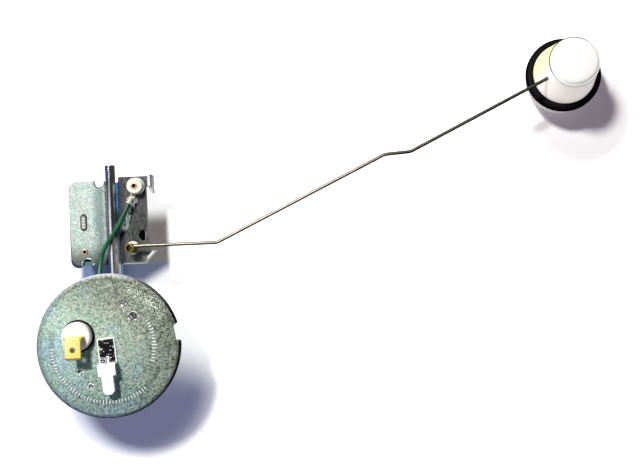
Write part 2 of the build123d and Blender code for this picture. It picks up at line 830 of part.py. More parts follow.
# Spindle: hub, front journal, wiper seat and rear journal, turned in one piece
hub_low_z = plate_z + bush_flange + end_play
seat_top_z = wiper_seat_z + wiper_seat_length
clip_low_z = clip_top_z - clip_sheet
with BuildPart() as wiper_spindle:
    with BuildSketch(Plane.XZ.offset(-pivot_y)):
        with BuildLine():
            Polyline(
                (pivot_x, hub_top_z),
                (pivot_x + hub_radius, hub_top_z),
                (pivot_x + hub_radius, hub_low_z),
                (pivot_x + journal_radius, hub_low_z),
                (pivot_x + journal_radius, seat_top_z),
                (pivot_x + wiper_seat_radius, seat_top_z),
                (pivot_x + wiper_seat_radius, wiper_seat_z),
                (pivot_x + rear_journal_radius, wiper_seat_z),
                (pivot_x + rear_journal_radius, clip_top_z),
                (pivot_x + clip_groove_radius, clip_top_z),
                (pivot_x + clip_groove_radius, clip_low_z),
                (pivot_x + rear_journal_radius, clip_low_z),
                (pivot_x + rear_journal_radius, clip_low_z - spindle_tip),
                (pivot_x, clip_low_z - spindle_tip),
                close=True,
            )
        make_face()
    revolve(axis=Axis((pivot_x, pivot_y, 0), (0, 0, 1)))
    hub_rim = wiper_spindle.faces().sort_by(Axis.Z)[-1].edges()
    fillet(hub_rim, hub_round)
    with BuildSketch(Plane.YZ.offset(wire_start_x - braze_gap)):
        with Locations((pivot_y + wire_offset, wire_z)):
            Circle(wire_radius + braze_gap)
    extrude(amount=2 * hub_radius, mode=Mode.SUBTRACT)
    with Locations((pivot_x, pivot_y, hub_top_z)):
        Hole(radius=hub_bore_radius, depth=hub_bore_depth)

with BuildPart() as spindle_clip:
    with BuildSketch(Plane.XY.offset(clip_top_z)):
        with Locations(pivot):
            Circle(clip_radius)
            Circle(clip_groove_radius + running_gap, mode=Mode.SUBTRACT)
            Rectangle(2 * clip_radius, clip_mouth, align=(Align.MIN, Align.CENTER), mode=Mode.SUBTRACT)
    extrude(amount=-clip_sheet)

# Wiper: strip staked on the spindle, with a tab turned up behind its contact
tab_outer = winding_inner - contact_gap - contact_head
wiper_low_z = wiper_seat_z - wiper_sheet
wiper_flat = Plane(
    origin=(pivot_x, pivot_y, wiper_low_z),
    x_dir=(cos(radians(wiper_rest)), sin(radians(wiper_rest)), 0),
    z_dir=(0, 0, 1),
)
with BuildPart() as wiper_arm:
    with BuildSketch(wiper_flat):
        Circle(wiper_ring_radius)
        with BuildLine():
            Polyline(
                (0, -wiper_root / 2),
                (tab_outer, -wiper_tip / 2),
                (tab_outer, wiper_tip / 2),
                (0, wiper_root / 2),
                close=True,
            )
        make_face()
        Circle(rear_journal_radius + running_gap, mode=Mode.SUBTRACT)
    extrude(amount=wiper_sheet)
    with BuildSketch(wiper_flat):
        with Locations((tab_outer - wiper_sheet / 2, 0)):
            Rectangle(wiper_sheet, wiper_tip)
    extrude(amount=wiper_tab_height)

with BuildPart() as wiper_contact:
    contact_plane = Plane(
        origin=wiper_flat.from_local_coords(
            (tab_outer, 0, (wiper_sheet + wiper_tab_height) / 2)
        ),
        x_dir=(0, 0, 1),
        z_dir=wiper_flat.x_dir,
    )
    with BuildSketch(contact_plane):
        Circle(contact_radius)
    extrude(amount=contact_head)
    contact_face = wiper_contact.faces().sort_by(Axis(contact_plane.origin, contact_plane.z_dir))[-1]
    fillet(contact_face.edges(), contact_round)

# Float arm
last_dir = Vector(float_centre[0] - bend_3[0], float_centre[1] - bend_3[1], 0).normalized()
wire_end = (
    float_centre[0] + wire_in_float * last_dir.X,
    float_centre[1] + wire_in_float * last_dir.Y,
)
wire_y = pivot_y + wire_offset
with BuildPart() as float_arm:
    with BuildLine() as wire_line:
        FilletPolyline(
            (wire_start_x, wire_y, wire_z),
            (bend_1[0], wire_y, wire_z),
            (*bend_2, wire_z),
            (*bend_3, wire_z),
            (*wire_end, wire_z),
            radius=bend_radii,
        )
    with BuildSketch(Plane.YZ.offset(wire_start_x)):
        with Locations((wire_y, wire_z)):
            Circle(wire_radius)
    sweep()

# Float, on a plane that holds its axis and the wire's last run
float_origin = Vector(float_centre[0], float_centre[1], wire_z)
float_lean = Vector(0, 0, 1).cross(last_dir)
float_axis = Vector(0, 0, 1) * cos(radians(float_tilt)) + float_lean * sin(radians(float_tilt))
float_plane = Plane(origin=float_origin, x_dir=last_dir, z_dir=last_dir.cross(float_axis))
spin_axis = Axis(float_origin, float_axis)
ring_low = ring_top - ring_height
joint_w = ring_top - ring_height / 2
spigot_outer = skirt_radius - float_wall - float_fit
with BuildPart() as float_body:
    with BuildSketch(float_plane) as body_section:
        with BuildLine():
            crown = ThreePointArc(
                (0, dome_top),
                (dome_edge / 2, dome_top - crown_sphere + sqrt(crown_sphere**2 - dome_edge**2 / 4)),
                (dome_edge, dome_top - dome_crown),
            )
            shoulder = Spline(
                crown @ 1,
                (dome_radius, dome_shoulder),
                tangents=[crown % 1, (skirt_radius - dome_radius, ring_top - dome_shoulder)],
            )
            Polyline(
                shoulder @ 1,
                (skirt_radius, ring_top),
                (skirt_radius, joint_w),
                (skirt_radius - float_wall, joint_w),
                (skirt_radius - float_wall, ring_top),
                (dome_radius - float_wall, dome_shoulder),
                (dome_edge - float_wall, dome_top - dome_crown - float_wall),
                (0, dome_top - dome_crown - float_wall),
                (0, dome_top),
            )
        make_face()
    revolve(axis=spin_axis)
    boss_plane = Plane(origin=float_origin, x_dir=float_axis, z_dir=last_dir * -1)
    with BuildSketch(boss_plane.offset(-wire_in_float - float_wall)):
        Circle(float_boss_radius)
    extrude(amount=dome_radius + wire_in_float + float_wall)
    with BuildSketch(boss_plane.offset(-wire_in_float)):
        Circle(wire_radius + float_fit)
    extrude(amount=2 * skirt_radius, mode=Mode.SUBTRACT)

with BuildPart() as float_ring:
    with BuildSketch(float_plane) as ring_section:
        with BuildLine():
            Polyline(
                (skirt_radius + float_fit, ring_top),
                (ring_radius, ring_top),
                (ring_radius, ring_low),
                (base_radius - float_wall, ring_low),
                (base_radius - float_wall, joint_w - float_fit),
                (skirt_radius + float_fit, joint_w - float_fit),
                close=True,
            )
        make_face()
        outer_vertices = ring_section.vertices().group_by(Axis.X)[-1]
        fillet(outer_vertices, ring_round)
    revolve(axis=spin_axis)

with BuildPart() as float_base:
    with BuildSketch(float_plane) as base_section:
        with BuildLine():
            Polyline(
                (0, base_end),
                (base_radius, base_end),
                (base_radius, ring_low - float_fit),
                (spigot_outer, ring_low - float_fit),
                (spigot_outer, joint_w + spigot_height),
                (spigot_outer - float_wall, joint_w + spigot_height),
                (spigot_outer - float_wall, ring_low),
                (base_radius - float_wall, ring_low - float_wall),
                (base_radius - float_wall, base_end + float_wall),
                (0, base_end + float_wall),
                close=True,
            )
        make_face()
        fillet(base_section.vertices().sort_by_distance((base_radius, base_end))[0], base_round)
        fillet(
            base_section.vertices().sort_by_distance(
                (base_radius - float_wall, base_end + float_wall)
            )[0],
            base_round - float_wall,
        )
    revolve(axis=spin_axis)

# Resistor card and winding
with BuildPart() as resistor_card:
    with BuildSketch(Plane.XY.offset(card_top_z)):
        add(arc_band(card_inner, card_outer, card_start, card_end))
    extrude(amount=-card_height)

turn_count = int((winding_end - winding_start) / turn_pitch)
with BuildPart() as resistor_winding:
    with BuildSketch(Plane.XY.offset(card_top_z + winding_wall)):
        add(arc_band(card_inner - winding_wall, card_outer + winding_wall, winding_start, winding_end))
    extrude(amount=-card_height - 2 * winding_wall)
    with BuildSketch(Plane.XY.offset(card_top_z + winding_wall + turn_height)):
        for turn in range(turn_count):
            start = winding_start + turn * turn_pitch
            add(arc_band(winding_inner, winding_outer, start, start + turn_share * turn_pitch))
    extrude(amount=-card_height - 2 * (winding_wall + turn_height))
    with BuildSketch(Plane.XY.offset(card_top_z)):
        add(arc_band(card_inner, card_outer, winding_start - 1, winding_end + 1))
    extrude(amount=-card_height, mode=Mode.SUBTRACT)

# Support of the card, with its peg in the plate's slot
with BuildPart() as card_post:
    with BuildSketch(Plane.XY.offset(plate_back_z)):
        with Locations((slot_x, slot_y)):
            Rectangle(post_width, post_length)
        with Locations(pivot):
            Circle(winding_outer + running_gap, mode=Mode.SUBTRACT)
    extrude(amount=-post_depth)
    with BuildSketch(Plane.XY.offset(plate_back_z)):
        with Locations((slot_x, slot_y)):
            Rectangle(post_width, post_length)
    extrude(amount=card_top_z + winding_wall + turn_height + running_gap - plate_back_z)
    with BuildSketch(Plane.XY.offset(plate_back_z)):
        with Locations((slot_x, slot_y)):
            SlotOverall(slot_length - 2 * peg_clearance, slot_width - 2 * peg_clearance, rotation=90)
    extrude(amount=plate_sheet)


def card_clip(terminal_point, foot_z, foot_radius, bore, card_angle):
    """Metal strip from a rivet to the outer face of the card's end."""
    face_point = polar(pivot, card_outer, card_angle)
    run = Vector(face_point[0] - terminal_point[0], face_point[1] - terminal_point[1], 0)
    foot_plane = Plane(
        origin=(terminal_point[0], terminal_point[1], foot_z), x_dir=run, z_dir=(0, 0, 1)
    )
    radial = Vector(cos(radians(card_angle)), sin(radians(card_angle)), 0)
    leg_plane = Plane(origin=(face_point[0], face_point[1], foot_z), x_dir=radial, z_dir=(0, 0, 1))
    with BuildPart() as clip:
        with BuildSketch(foot_plane):
            Circle(foot_radius)
            Rectangle(run.length, clip_width / 2, align=(Align.MIN, Align.CENTER))
            Circle(bore, mode=Mode.SUBTRACT)
        extrude(amount=-clip_strip)
        with BuildSketch(leg_plane):
            Rectangle(clip_strip, clip_leg_width, align=(Align.MIN, Align.CENTER))
        extrude(amount=-clip_leg)
        trim_start = card_start - clip_trim_angle
        trim_end = card_end + clip_trim_angle
        with BuildSketch(Plane.XY.offset(foot_z)):
            add(arc_band(clip_trim_inner, card_outer, trim_start, trim_end))
        extrude(amount=-clip_leg - clip_strip, mode=Mode.SUBTRACT)
    return clip


earth_clip = card_clip(
    (plate_eyelet_x, plate_eyelet_y),
    plate_back_z,
    clip_width / 2,
    plate_eyelet_radius + running_gap,
    (winding_end + card_end) / 2,
)
live_clip = card_clip(
    lead_terminal,
    lead_inner_z,
    live_clip_foot_radius,
    eyelet_radius + running_gap,
    (winding_start + card_start) / 2,
)
plate_eyelet = tube_rivet(
    (plate_eyelet_x, plate_eyelet_y),
    plate_z,
    plate_eyelet_head_radius,
    plate_eyelet_radius,
    plate_eyelet_bore,
    plate_back_z - clip_strip,
)

# Lead terminal: two insulating washers outside, one inside, a hollow rivet and a crimp tag
with BuildPart() as lead_base_washer:
    with BuildSketch(Plane.XY.offset(plate_z)):
        with Locations(lead_terminal):
            Circle(lead_base_radius)
    extrude(amount=lead_base_height)
    fillet(lead_base_washer.faces().sort_by(Axis.Z)[-1].edges(), lead_washer_round)
    with BuildSketch(Plane.XY.offset(plate_z)):
        with Locations(lead_terminal):
            Circle(lead_spigot_radius)
    extrude(amount=-plate_sheet)
    with Locations((lead_x, lead_y, lead_tag_z)):
        Hole(radius=eyelet_radius + running_gap)

lead_cap_washer = ring_piece(
    lead_terminal,
    lead_cap_z,
    lead_cap_height,
    lead_cap_radius,
    eyelet_radius + running_gap,
    lead_washer_round,
)
lead_inner_washer = ring_piece(
    lead_terminal, lead_inner_z, lead_inner_height, lead_inner_radius, eyelet_radius + running_gap
)
lead_eyelet = tube_rivet(
    lead_terminal,
    lead_cap_z + lead_cap_height,
    eyelet_head_radius,
    eyelet_radius,
    eyelet_bore,
    lead_inner_z - clip_strip,
)

route_start = Vector(*lead_route[0])
first_run = (Vector(*lead_route[1]) - route_start).normalized()
tag_run = Vector(route_start.X - lead_x, route_start.Y - lead_y, 0)
tag_plane = Plane(origin=(lead_x, lead_y, lead_tag_z), x_dir=tag_run, z_dir=(0, 0, 1))
crimp_plane = Plane(origin=route_start - first_run * crimp_back, z_dir=first_run)
with BuildPart() as lead_tag:
    with BuildSketch(tag_plane):
        Circle(lead_tag_ring)
        Rectangle(tag_run.length, lead_tag_width, align=(Align.MIN, Align.CENTER))
        Circle(eyelet_radius + running_gap, mode=Mode.SUBTRACT)
    extrude(amount=lead_tag_sheet)
    with BuildSketch(crimp_plane):
        Circle(lead_radius + running_gap + crimp_wall)
    extrude(amount=crimp_length)
    with BuildSketch(crimp_plane):
        Circle(lead_radius + running_gap)
    extrude(amount=crimp_length, mode=Mode.SUBTRACT)

# Signal lead: straight runs joined by arcs as large as the runs allow
lead_points = [Vector(*point) for point in lead_route]
lead_radii = []
for before, here, after in zip(lead_points, lead_points[1:], lead_points[2:]):
    arriving = here - before
    leaving = after - here
    turn = radians(arriving.get_angle(leaving))
    shorter = min(arriving.length, leaving.length)
    lead_radii.append(lead_bend_share * shorter / tan(turn / 2))
with BuildPart() as signal_lead:
    with BuildLine() as lead_line:
        FilletPolyline(*lead_route, radius=lead_radii)
    with BuildSketch(Plane(origin=lead_points[0], z_dir=lead_points[1] - lead_points[0])):
        Circle(lead_radius)
    sweep()

pieces = {
    "flange_disc": flange_disc,
    "terminal_gasket": terminal_gasket,
    "terminal_insulator": terminal_insulator,
    "inner_insulator": inner_insulator,
    "terminal_blade": terminal_blade,
    "inner_tag": inner_tag,
    "earth_terminal": earth_terminal,
    "rod_bracket": rod_bracket,
    "support_rod": support_rod,
    "housing_plate": housing_plate,
    "housing_cover": housing_cover,
    "pivot_bush": pivot_bush,
    "rear_bush": rear_bush,
    "wiper_spindle": wiper_spindle,
    "spindle_clip": spindle_clip,
    "wiper_arm": wiper_arm,
    "wiper_contact": wiper_contact,
    "float_arm": float_arm,
    "float_body": float_body,
    "float_ring": float_ring,
    "float_base": float_base,
    "resistor_card": resistor_card,
    "resistor_winding": resistor_winding,
    "card_post": card_post,
    "earth_clip": earth_clip,
    "live_clip": live_clip,
    "plate_eyelet": plate_eyelet,
    "lead_base_washer": lead_base_washer,
    "lead_cap_washer": lead_cap_washer,
    "lead_inner_washer": lead_inner_washer,
    "lead_eyelet": lead_eyelet,
    "lead_tag": lead_tag,
    "signal_lead": signal_lead,
}

os.makedirs("parts", exist_ok=True)
for name, piece in pieces.items():
    piece.part.label = name
    export_step(piece.part, f"parts/{name}.step")

# Ends of the arm's swing, where the wire stands off a stop by the named gap
slope_share = (wire_z - plate_z - stop_foot_height) / (stop_height - stop_foot_height)
upper_edge_y = upper_stop_low + slope_share * (upper_stop_top_low - upper_stop_low)
upper_corner = Vector(upper_stop_x + plate_sheet - pivot_x, upper_edge_y - pivot_y)
lower_corner = Vector(lower_stop_end[0] - pivot_x, lower_stop_end[1] - pivot_y)
lower_corner += Vector(-lower_dir.Y, lower_dir.X) * (plate_sheet / 2)
upper_reach = asin((wire_offset + wire_radius + stop_gap) / upper_corner.length)
lower_reach = asin((wire_offset - wire_radius - stop_gap) / lower_corner.length)
swing_up = degrees(atan2(upper_corner.Y, upper_corner.X) - upper_reach)
swing_down = degrees(atan2(lower_corner.Y, lower_corner.X) - lower_reach)
print("arm swings from", round(swing_down, 1), "to", round(swing_up, 1), "degrees")

lead_length = lead_line.wire().length
lead_section = pi * lead_radius**2
print("lead radii", [round(radius, 1) for radius in lead_radii])
print("lead volume over section times length", signal_lead.part.volume / (lead_section * lead_length))
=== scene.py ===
import json
import math
from contextlib import contextmanager

import bmesh
import bpy
from mathutils import Matrix, Vector, noise

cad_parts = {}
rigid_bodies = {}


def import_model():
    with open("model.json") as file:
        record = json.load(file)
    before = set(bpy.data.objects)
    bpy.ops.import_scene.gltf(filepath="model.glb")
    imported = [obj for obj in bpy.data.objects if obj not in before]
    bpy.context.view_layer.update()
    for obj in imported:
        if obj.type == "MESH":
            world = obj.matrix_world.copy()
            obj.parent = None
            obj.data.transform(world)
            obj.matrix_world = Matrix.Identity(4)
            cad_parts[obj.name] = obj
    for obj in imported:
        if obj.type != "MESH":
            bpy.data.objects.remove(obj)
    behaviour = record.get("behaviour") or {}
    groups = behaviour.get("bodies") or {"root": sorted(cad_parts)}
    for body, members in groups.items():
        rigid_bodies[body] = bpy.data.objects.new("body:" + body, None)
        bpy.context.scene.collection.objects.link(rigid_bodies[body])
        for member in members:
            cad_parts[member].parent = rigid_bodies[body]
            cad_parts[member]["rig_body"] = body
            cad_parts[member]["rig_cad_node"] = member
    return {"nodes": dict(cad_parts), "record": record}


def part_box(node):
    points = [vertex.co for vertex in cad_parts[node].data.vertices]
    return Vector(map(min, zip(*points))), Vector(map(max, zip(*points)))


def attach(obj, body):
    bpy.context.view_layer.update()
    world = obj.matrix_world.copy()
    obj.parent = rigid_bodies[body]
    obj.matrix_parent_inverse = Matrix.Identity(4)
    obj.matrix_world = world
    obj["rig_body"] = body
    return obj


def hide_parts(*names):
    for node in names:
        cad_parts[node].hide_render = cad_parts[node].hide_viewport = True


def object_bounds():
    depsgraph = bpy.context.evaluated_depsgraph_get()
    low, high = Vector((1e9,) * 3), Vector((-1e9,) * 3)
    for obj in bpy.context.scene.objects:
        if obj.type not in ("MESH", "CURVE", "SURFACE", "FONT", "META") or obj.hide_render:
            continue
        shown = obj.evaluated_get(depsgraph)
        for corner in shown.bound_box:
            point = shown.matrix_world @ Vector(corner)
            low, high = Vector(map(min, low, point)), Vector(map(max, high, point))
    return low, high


# Fuel level sender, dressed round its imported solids.
# Metres. +Z points out of the tank, +Y runs along the rod and +X towards the float.

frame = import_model()
nodes = frame["nodes"]
cad_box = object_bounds()

mm = 0.001


def spot(x, y):
    """A place in X and Y, given in millimetres."""
    return Vector((x, y)) * mm


# Places and sizes that the looks share with the solids
disc_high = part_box("flange_disc")[1]
face_z = disc_high.z
disc_radius = disc_high.x
outer_tick_radius = 23.2 * mm
inner_tick_radius = 19.5 * mm
weld_points = [spot(11.1, 12.1), spot(7.2, 17.3), spot(-11.8, -10.1), spot(-7.5, -16.4)]
weld_ring_radii = [1.9 * mm, 0.9 * mm, 1.2 * mm, 1.2 * mm]
gauge_hole = spot(-11.8, 0.15)
gauge_fold_z = 9 * mm
earth_origin = spot(-0.55, 3.5)
earth_turn = math.radians(4.8)
earth_foot_width = 7.3 * mm

plate_z = -12.8 * mm            # the upper face of the plate
plate_corner = spot(-15.2, 36.8)
plate_notch = spot(-5.3, 69.1)
plate_scallop = spot(-11.6, 33.9)
plate_slot = spot(-12.8, 52.0)
wing_left = -18.35 * mm         # the left wing's edges
wing_top = 69.5 * mm
stop_height = 8.6 * mm
upper_stop_low = 63.6 * mm
upper_stop_length = 7.6 * mm
pivot = spot(8.4, 40.1)
lead_terminal = spot(11.0, 66.8)
lead_crimp = spot(9.1, 61.4)

wire_radius = 0.75 * mm
wire_z = -7.1 * mm
wire_route = [
    Vector((x * mm, y * mm, wire_z))
    for x, y in ((8.8, 40.95), (45.7, 40.95), (118.9, 75.4), (130.0, 76.1), (201.44, 110.39))
]
wire_bends = [6.0 * mm, 7.0 * mm, 7.0 * mm]
wire_entry = spot(190.1, 105.0)

float_origin = Vector((200.0 * mm, 109.7 * mm, wire_z))
float_tilt = math.radians(6.8)
upright = Vector((0, 0, 1))
last_run = (float_origin - wire_route[3]).normalized()
float_lean = upright.cross(last_run)
dome_axis = upright * math.cos(float_tilt) + float_lean * math.sin(float_tilt)
dome_centre = float_origin + dome_axis * 5.9 * mm
dome_radius = 10.42 * mm

unlit = (0.0, 0.0, 0.0)


# Shader maths

class Value:
    """A number that varies over a surface. Its operators add the nodes of their maths."""

    def __init__(self, finish, socket):
        self.finish = finish
        self.socket = socket

    def maths(self, operation, *values):
        return self.finish.node("ShaderNodeMath", {"operation": operation}, dict(enumerate(values)))

    def __add__(self, other):
        return self.maths("ADD", self, other)

    def __radd__(self, other):
        return self.maths("ADD", other, self)

    def __sub__(self, other):
        return self.maths("SUBTRACT", self, other)

    def __rsub__(self, other):
        return self.maths("SUBTRACT", other, self)

    def __mul__(self, other):
        return self.maths("MULTIPLY", self, other)

    def __rmul__(self, other):
        return self.maths("MULTIPLY", other, self)

    def __truediv__(self, other):
        return self.maths("DIVIDE", self, other)

    def __pow__(self, other):
        return self.maths("POWER", self, other)

    def size(self):
        return self.maths("ABSOLUTE", self)

    def sine(self):
        return self.maths("SINE", self)

    def most(self, other):
        return self.maths("MAXIMUM", self, other)

    def swing(self, amount):
        """The ups and downs of a noise about its average of 0.5, times an amount."""
        return (self - 0.5) * amount

    def rise(self, low, high):
        """0 below low, 1 above high and smooth between them. It falls where low is above high."""
        ends = {"From Min": low, "From Max": high}
        if low > high:
            ends = {"From Min": high, "From Max": low}
        step = self.finish.node(
            "ShaderNodeMapRange", {"interpolation_type": "SMOOTHSTEP"}, {"Value": self, **ends}
        )
        return 1 - step if low > high else step


class Finish:
    """A material, with the nodes that vary its look over a piece."""

    def __init__(self, name, **sockets):
        self.material = bpy.data.materials.new(name)
        self.material.use_nodes = True
        self.tree = self.material.node_tree
        self.shader = self.tree.nodes["Principled BSDF"]
        self.where = self.node("ShaderNodeTexCoord", output="Object")
        for socket, value in sockets.items():
            self.set(socket.replace("_", " "), value)

    def node(self, kind, settings=None, inputs=None, output=0):
        made = self.tree.nodes.new(kind)
        for name, value in (settings or {}).items():
            setattr(made, name, value)
        for name, value in (inputs or {}).items():
            self.plug(made.inputs[name], value)
        return Value(self, made.outputs[output])

    def plug(self, socket, value):
        if isinstance(value, Value):
            self.tree.links.new(value.socket, socket)
        else:
            socket.default_value = value

    def set(self, socket, value):
        if isinstance(value, tuple) and len(value) == 3:
            value = (*value, 1)
        self.plug(self.shader.inputs[socket], value)

    def axes(self):
        """The X, Y and Z of the place on the piece."""
        made = self.tree.nodes.new("ShaderNodeSeparateXYZ")
        self.plug(made.inputs[0], self.where)
        return [Value(self, output) for output in made.outputs]

    def noise(self, grain, detail=2.0, roughness=0.5, stretch=None, distortion=0.0):
        """Cloudy noise with a grain of that size in metres, about 0.5 on average."""
        vector = self.where
        if stretch:
            vector = self.node("ShaderNodeMapping", None, {"Vector": vector, "Scale": stretch})
        return self.node(
            "ShaderNodeTexNoise",
            None,
            {
                "Vector": vector,
                "Scale": 1 / grain,
                "Detail": detail,
                "Roughness": roughness,
                "Distortion": distortion,
            },
        )

    def spangle(self, grain):
        """A random level for each crystal of the plating."""
        made = self.node(
            "ShaderNodeTexVoronoi", None, {"Vector": self.where, "Scale": 1 / grain}, output="Color"
        )
        return self.node("ShaderNodeSeparateColor", None, {0: made})

    def mix(self, factor, low, high):
        """A colour between two, by a factor."""
        low, high = [(*c, 1) if isinstance(c, tuple) and len(c) == 3 else c for c in (low, high)]
        return self.node("ShaderNodeMix", {"data_type": "RGBA"}, {0: factor, 6: low, 7: high}, output=2)

    def shade(self, colour, level):
        """A colour multiplied by a level."""
        return self.node("ShaderNodeVectorMath", {"operation": "SCALE"}, {0: colour, "Scale": level})

    def away(self, point):
        """The distance from a point in X and Y."""
        x, y = self.axes()[:2]
        return ((x - point.x) ** 2 + (y - point.y) ** 2) ** 0.5

    def near(self, point, inner, outer):
        """1 within a radius of a point in X and Y, falling to 0 at an outer radius."""
        return self.away(point).rise(outer, inner)

    def ruled(self, start, along):
        """The distances along a line in X and Y and across it, from its start."""
        x, y = self.axes()[:2]
        u = (x - start.x) * along.x + (y - start.y) * along.y
        v = (x - start.x) * -along.y + (y - start.y) * along.x
        return u, v

    def line(self, start, end, width):
        """1 on a straight mark from start to end in X and Y, falling to 0 at its edge."""
        u, v = self.ruled(start, (end - start).normalized())
        middle = (end - start).length / 2
        return v.size().rise(width, width * 0.3) * (u - middle).size().rise(middle, middle * 0.7)

    def bump(self, height, depth):
        """Feeds a height from 0 to 1 to the surface, as relief of that depth in metres."""
        self.set(
            "Normal",
            self.node("ShaderNodeBump", None, {"Strength": 1.0, "Distance": depth, "Height": height}),
        )


# Finishes

def zinc_flange():
    """Grainy zinc on the disc: green and cream tints and burns at the welds, with painted light and shade: a
    face brighter in the middle and at the left, painted shade round the stamped marks, and a rim painted lit
    and glowing at the upper left and dark at the lower right.
    """
    finish = Finish("zinc_flange", Metallic=1.0)
    x, y, z = finish.axes()
    grain = finish.noise(0.55 * mm, 2.0, 0.6)
    fine = finish.noise(0.22 * mm, 1.0)
    crystal = finish.spangle(0.8 * mm)
    cloud = finish.noise(9 * mm, 3.0)
    patch = finish.noise(3.2 * mm, 2.0)
    speck = finish.noise(0.9 * mm, 1.0)

    # How bright each part of the face is: painted light and shade, brighter in the middle and at the left
    # and darker towards the right and the top, varied by grain, crystals, clouds and a hazy streak
    middle = finish.near(spot(-3, 1), 2 * mm, 30 * mm)
    right = finish.near(spot(28, 4), 2 * mm, 18 * mm)
    upper_left = finish.near(spot(-22, 13), 2 * mm, 20 * mm)
    lower_left = finish.near(spot(-24, -12), 2 * mm, 18 * mm)
    top = y.rise(2 * mm, 24 * mm)
    haze = finish.line(spot(8.5, 27.0), spot(25.5, 11.0), 5 * mm) * grain.rise(0.50, 0.62)
    level = 0.48 + grain.swing(1.5) + fine.swing(1.1) + crystal.swing(0.3) + cloud.swing(0.2)
    level = level + middle * 0.19 - x * 4.2 - top * 0.08 - right * 0.05
    level = level + upper_left * 0.16 + lower_left * 0.10 + haze * 0.5
    radius = (x**2 + y**2) ** 0.5
    # Painted shade in a band round the outer arc of stamped marks
    shade_round_ticks = (radius - outer_tick_radius).size().rise(1.4 * mm, 0.8 * mm)
    shade_round_ticks = shade_round_ticks * (x * -0.35 - y).rise(-2 * mm, 3 * mm)
    level = level * (1 - shade_round_ticks * 0.22)

    # The plating's tints
    green = (0.70, 0.92, 0.80)
    cream = (0.83, 0.93, 0.76)
    blue = (0.66, 0.86, 0.92)
    brown = (0.80, 0.76, 0.66)
    tint = finish.mix((speck * 0.6 + patch * 0.4 + (x + y) * 5).rise(0.40, 0.62), green, cream)
    tint = finish.mix((cloud - (x + y) * 6).rise(0.5, 0.85), tint, blue)
    heated = finish.near(weld_points[1] + spot(-2, 2), 1.5 * mm, 6.5 * mm)
    tint = finish.mix(heated * 0.45, tint, brown)
    colour = finish.shade(tint, level)

    # Burns in the weld craters, flecked with painted glints, and brighter metal where it is worn, scratched
    # or raised
    burn = finish.near(weld_points[0], 1.5 * mm, 3.2 * mm)
    for point in weld_points[1:]:
        burn = burn.most(finish.near(point, 0.6 * mm, 2.0 * mm))
    burn = (burn * (0.35 + patch * 1.3)).rise(0.3, 0.75)
    spark = finish.noise(0.8 * mm, 2.0, 0.6, distortion=1.0).rise(0.53, 0.58)
    scorched_with_glints = finish.mix(spark, (0.045, 0.04, 0.05), (0.85, 0.84, 0.88))
    colour = finish.mix(burn * 0.85, colour, scorched_with_glints)
    from_rim = disc_radius - radius
    worn = from_rim.rise(1.6 * mm, 0.7 * mm) * finish.noise(1.6 * mm).rise(0.42, 0.6)
    scratch = finish.line(spot(18.1, 16.5), spot(21.6, 14.6), 0.28 * mm)
    raised = z.rise(face_z + 0.04 * mm, face_z + 0.1 * mm)
    colour = finish.mix((worn * 0.4).most(scratch).most(raised), colour, (0.95, 0.96, 0.95))

    # The rolled rim, in painted light and shade: a crown painted dimmer except at the lower right, then an
    # edge painted dark at the lower right, grey between, and bright at the upper left
    shaded = (x * 0.75 - y * 0.66).rise(-2 * mm, 12 * mm)
    lit = (y * 0.65 - x * 0.76).rise(4 * mm, 18 * mm)
    crown = from_rim.rise(3.2 * mm, 2.2 * mm) * z.rise(face_z - 0.5 * mm, face_z - 0.2 * mm)
    colour = finish.shade(colour, 1 - crown * (1 - shaded) * 0.25)
    outer = from_rim.rise(0.8 * mm, 0.35 * mm)
    colour = finish.mix(outer * shaded * 0.9, colour, (0.04, 0.05, 0.07))
    colour = finish.mix(outer * (1 - shaded) * (1 - lit) * 0.6, colour, (0.16, 0.17, 0.19))
    colour = finish.mix(outer * lit * 0.8, colour, (1.0, 0.98, 1.0))
    finish.set("Base Color", colour)
    finish.set("Roughness", 0.72 + grain.swing(0.4) + cloud.swing(0.12) - worn * 0.1)
    # A painted glow on the rim's edge at the upper left
    finish.set("Emission Color", finish.mix(outer * lit, unlit, (0.9, 0.85, 0.9)))
    finish.set("Emission Strength", 0.25)
    finish.bump(grain * 0.6 + fine * 0.4, 0.035 * mm)
    return finish


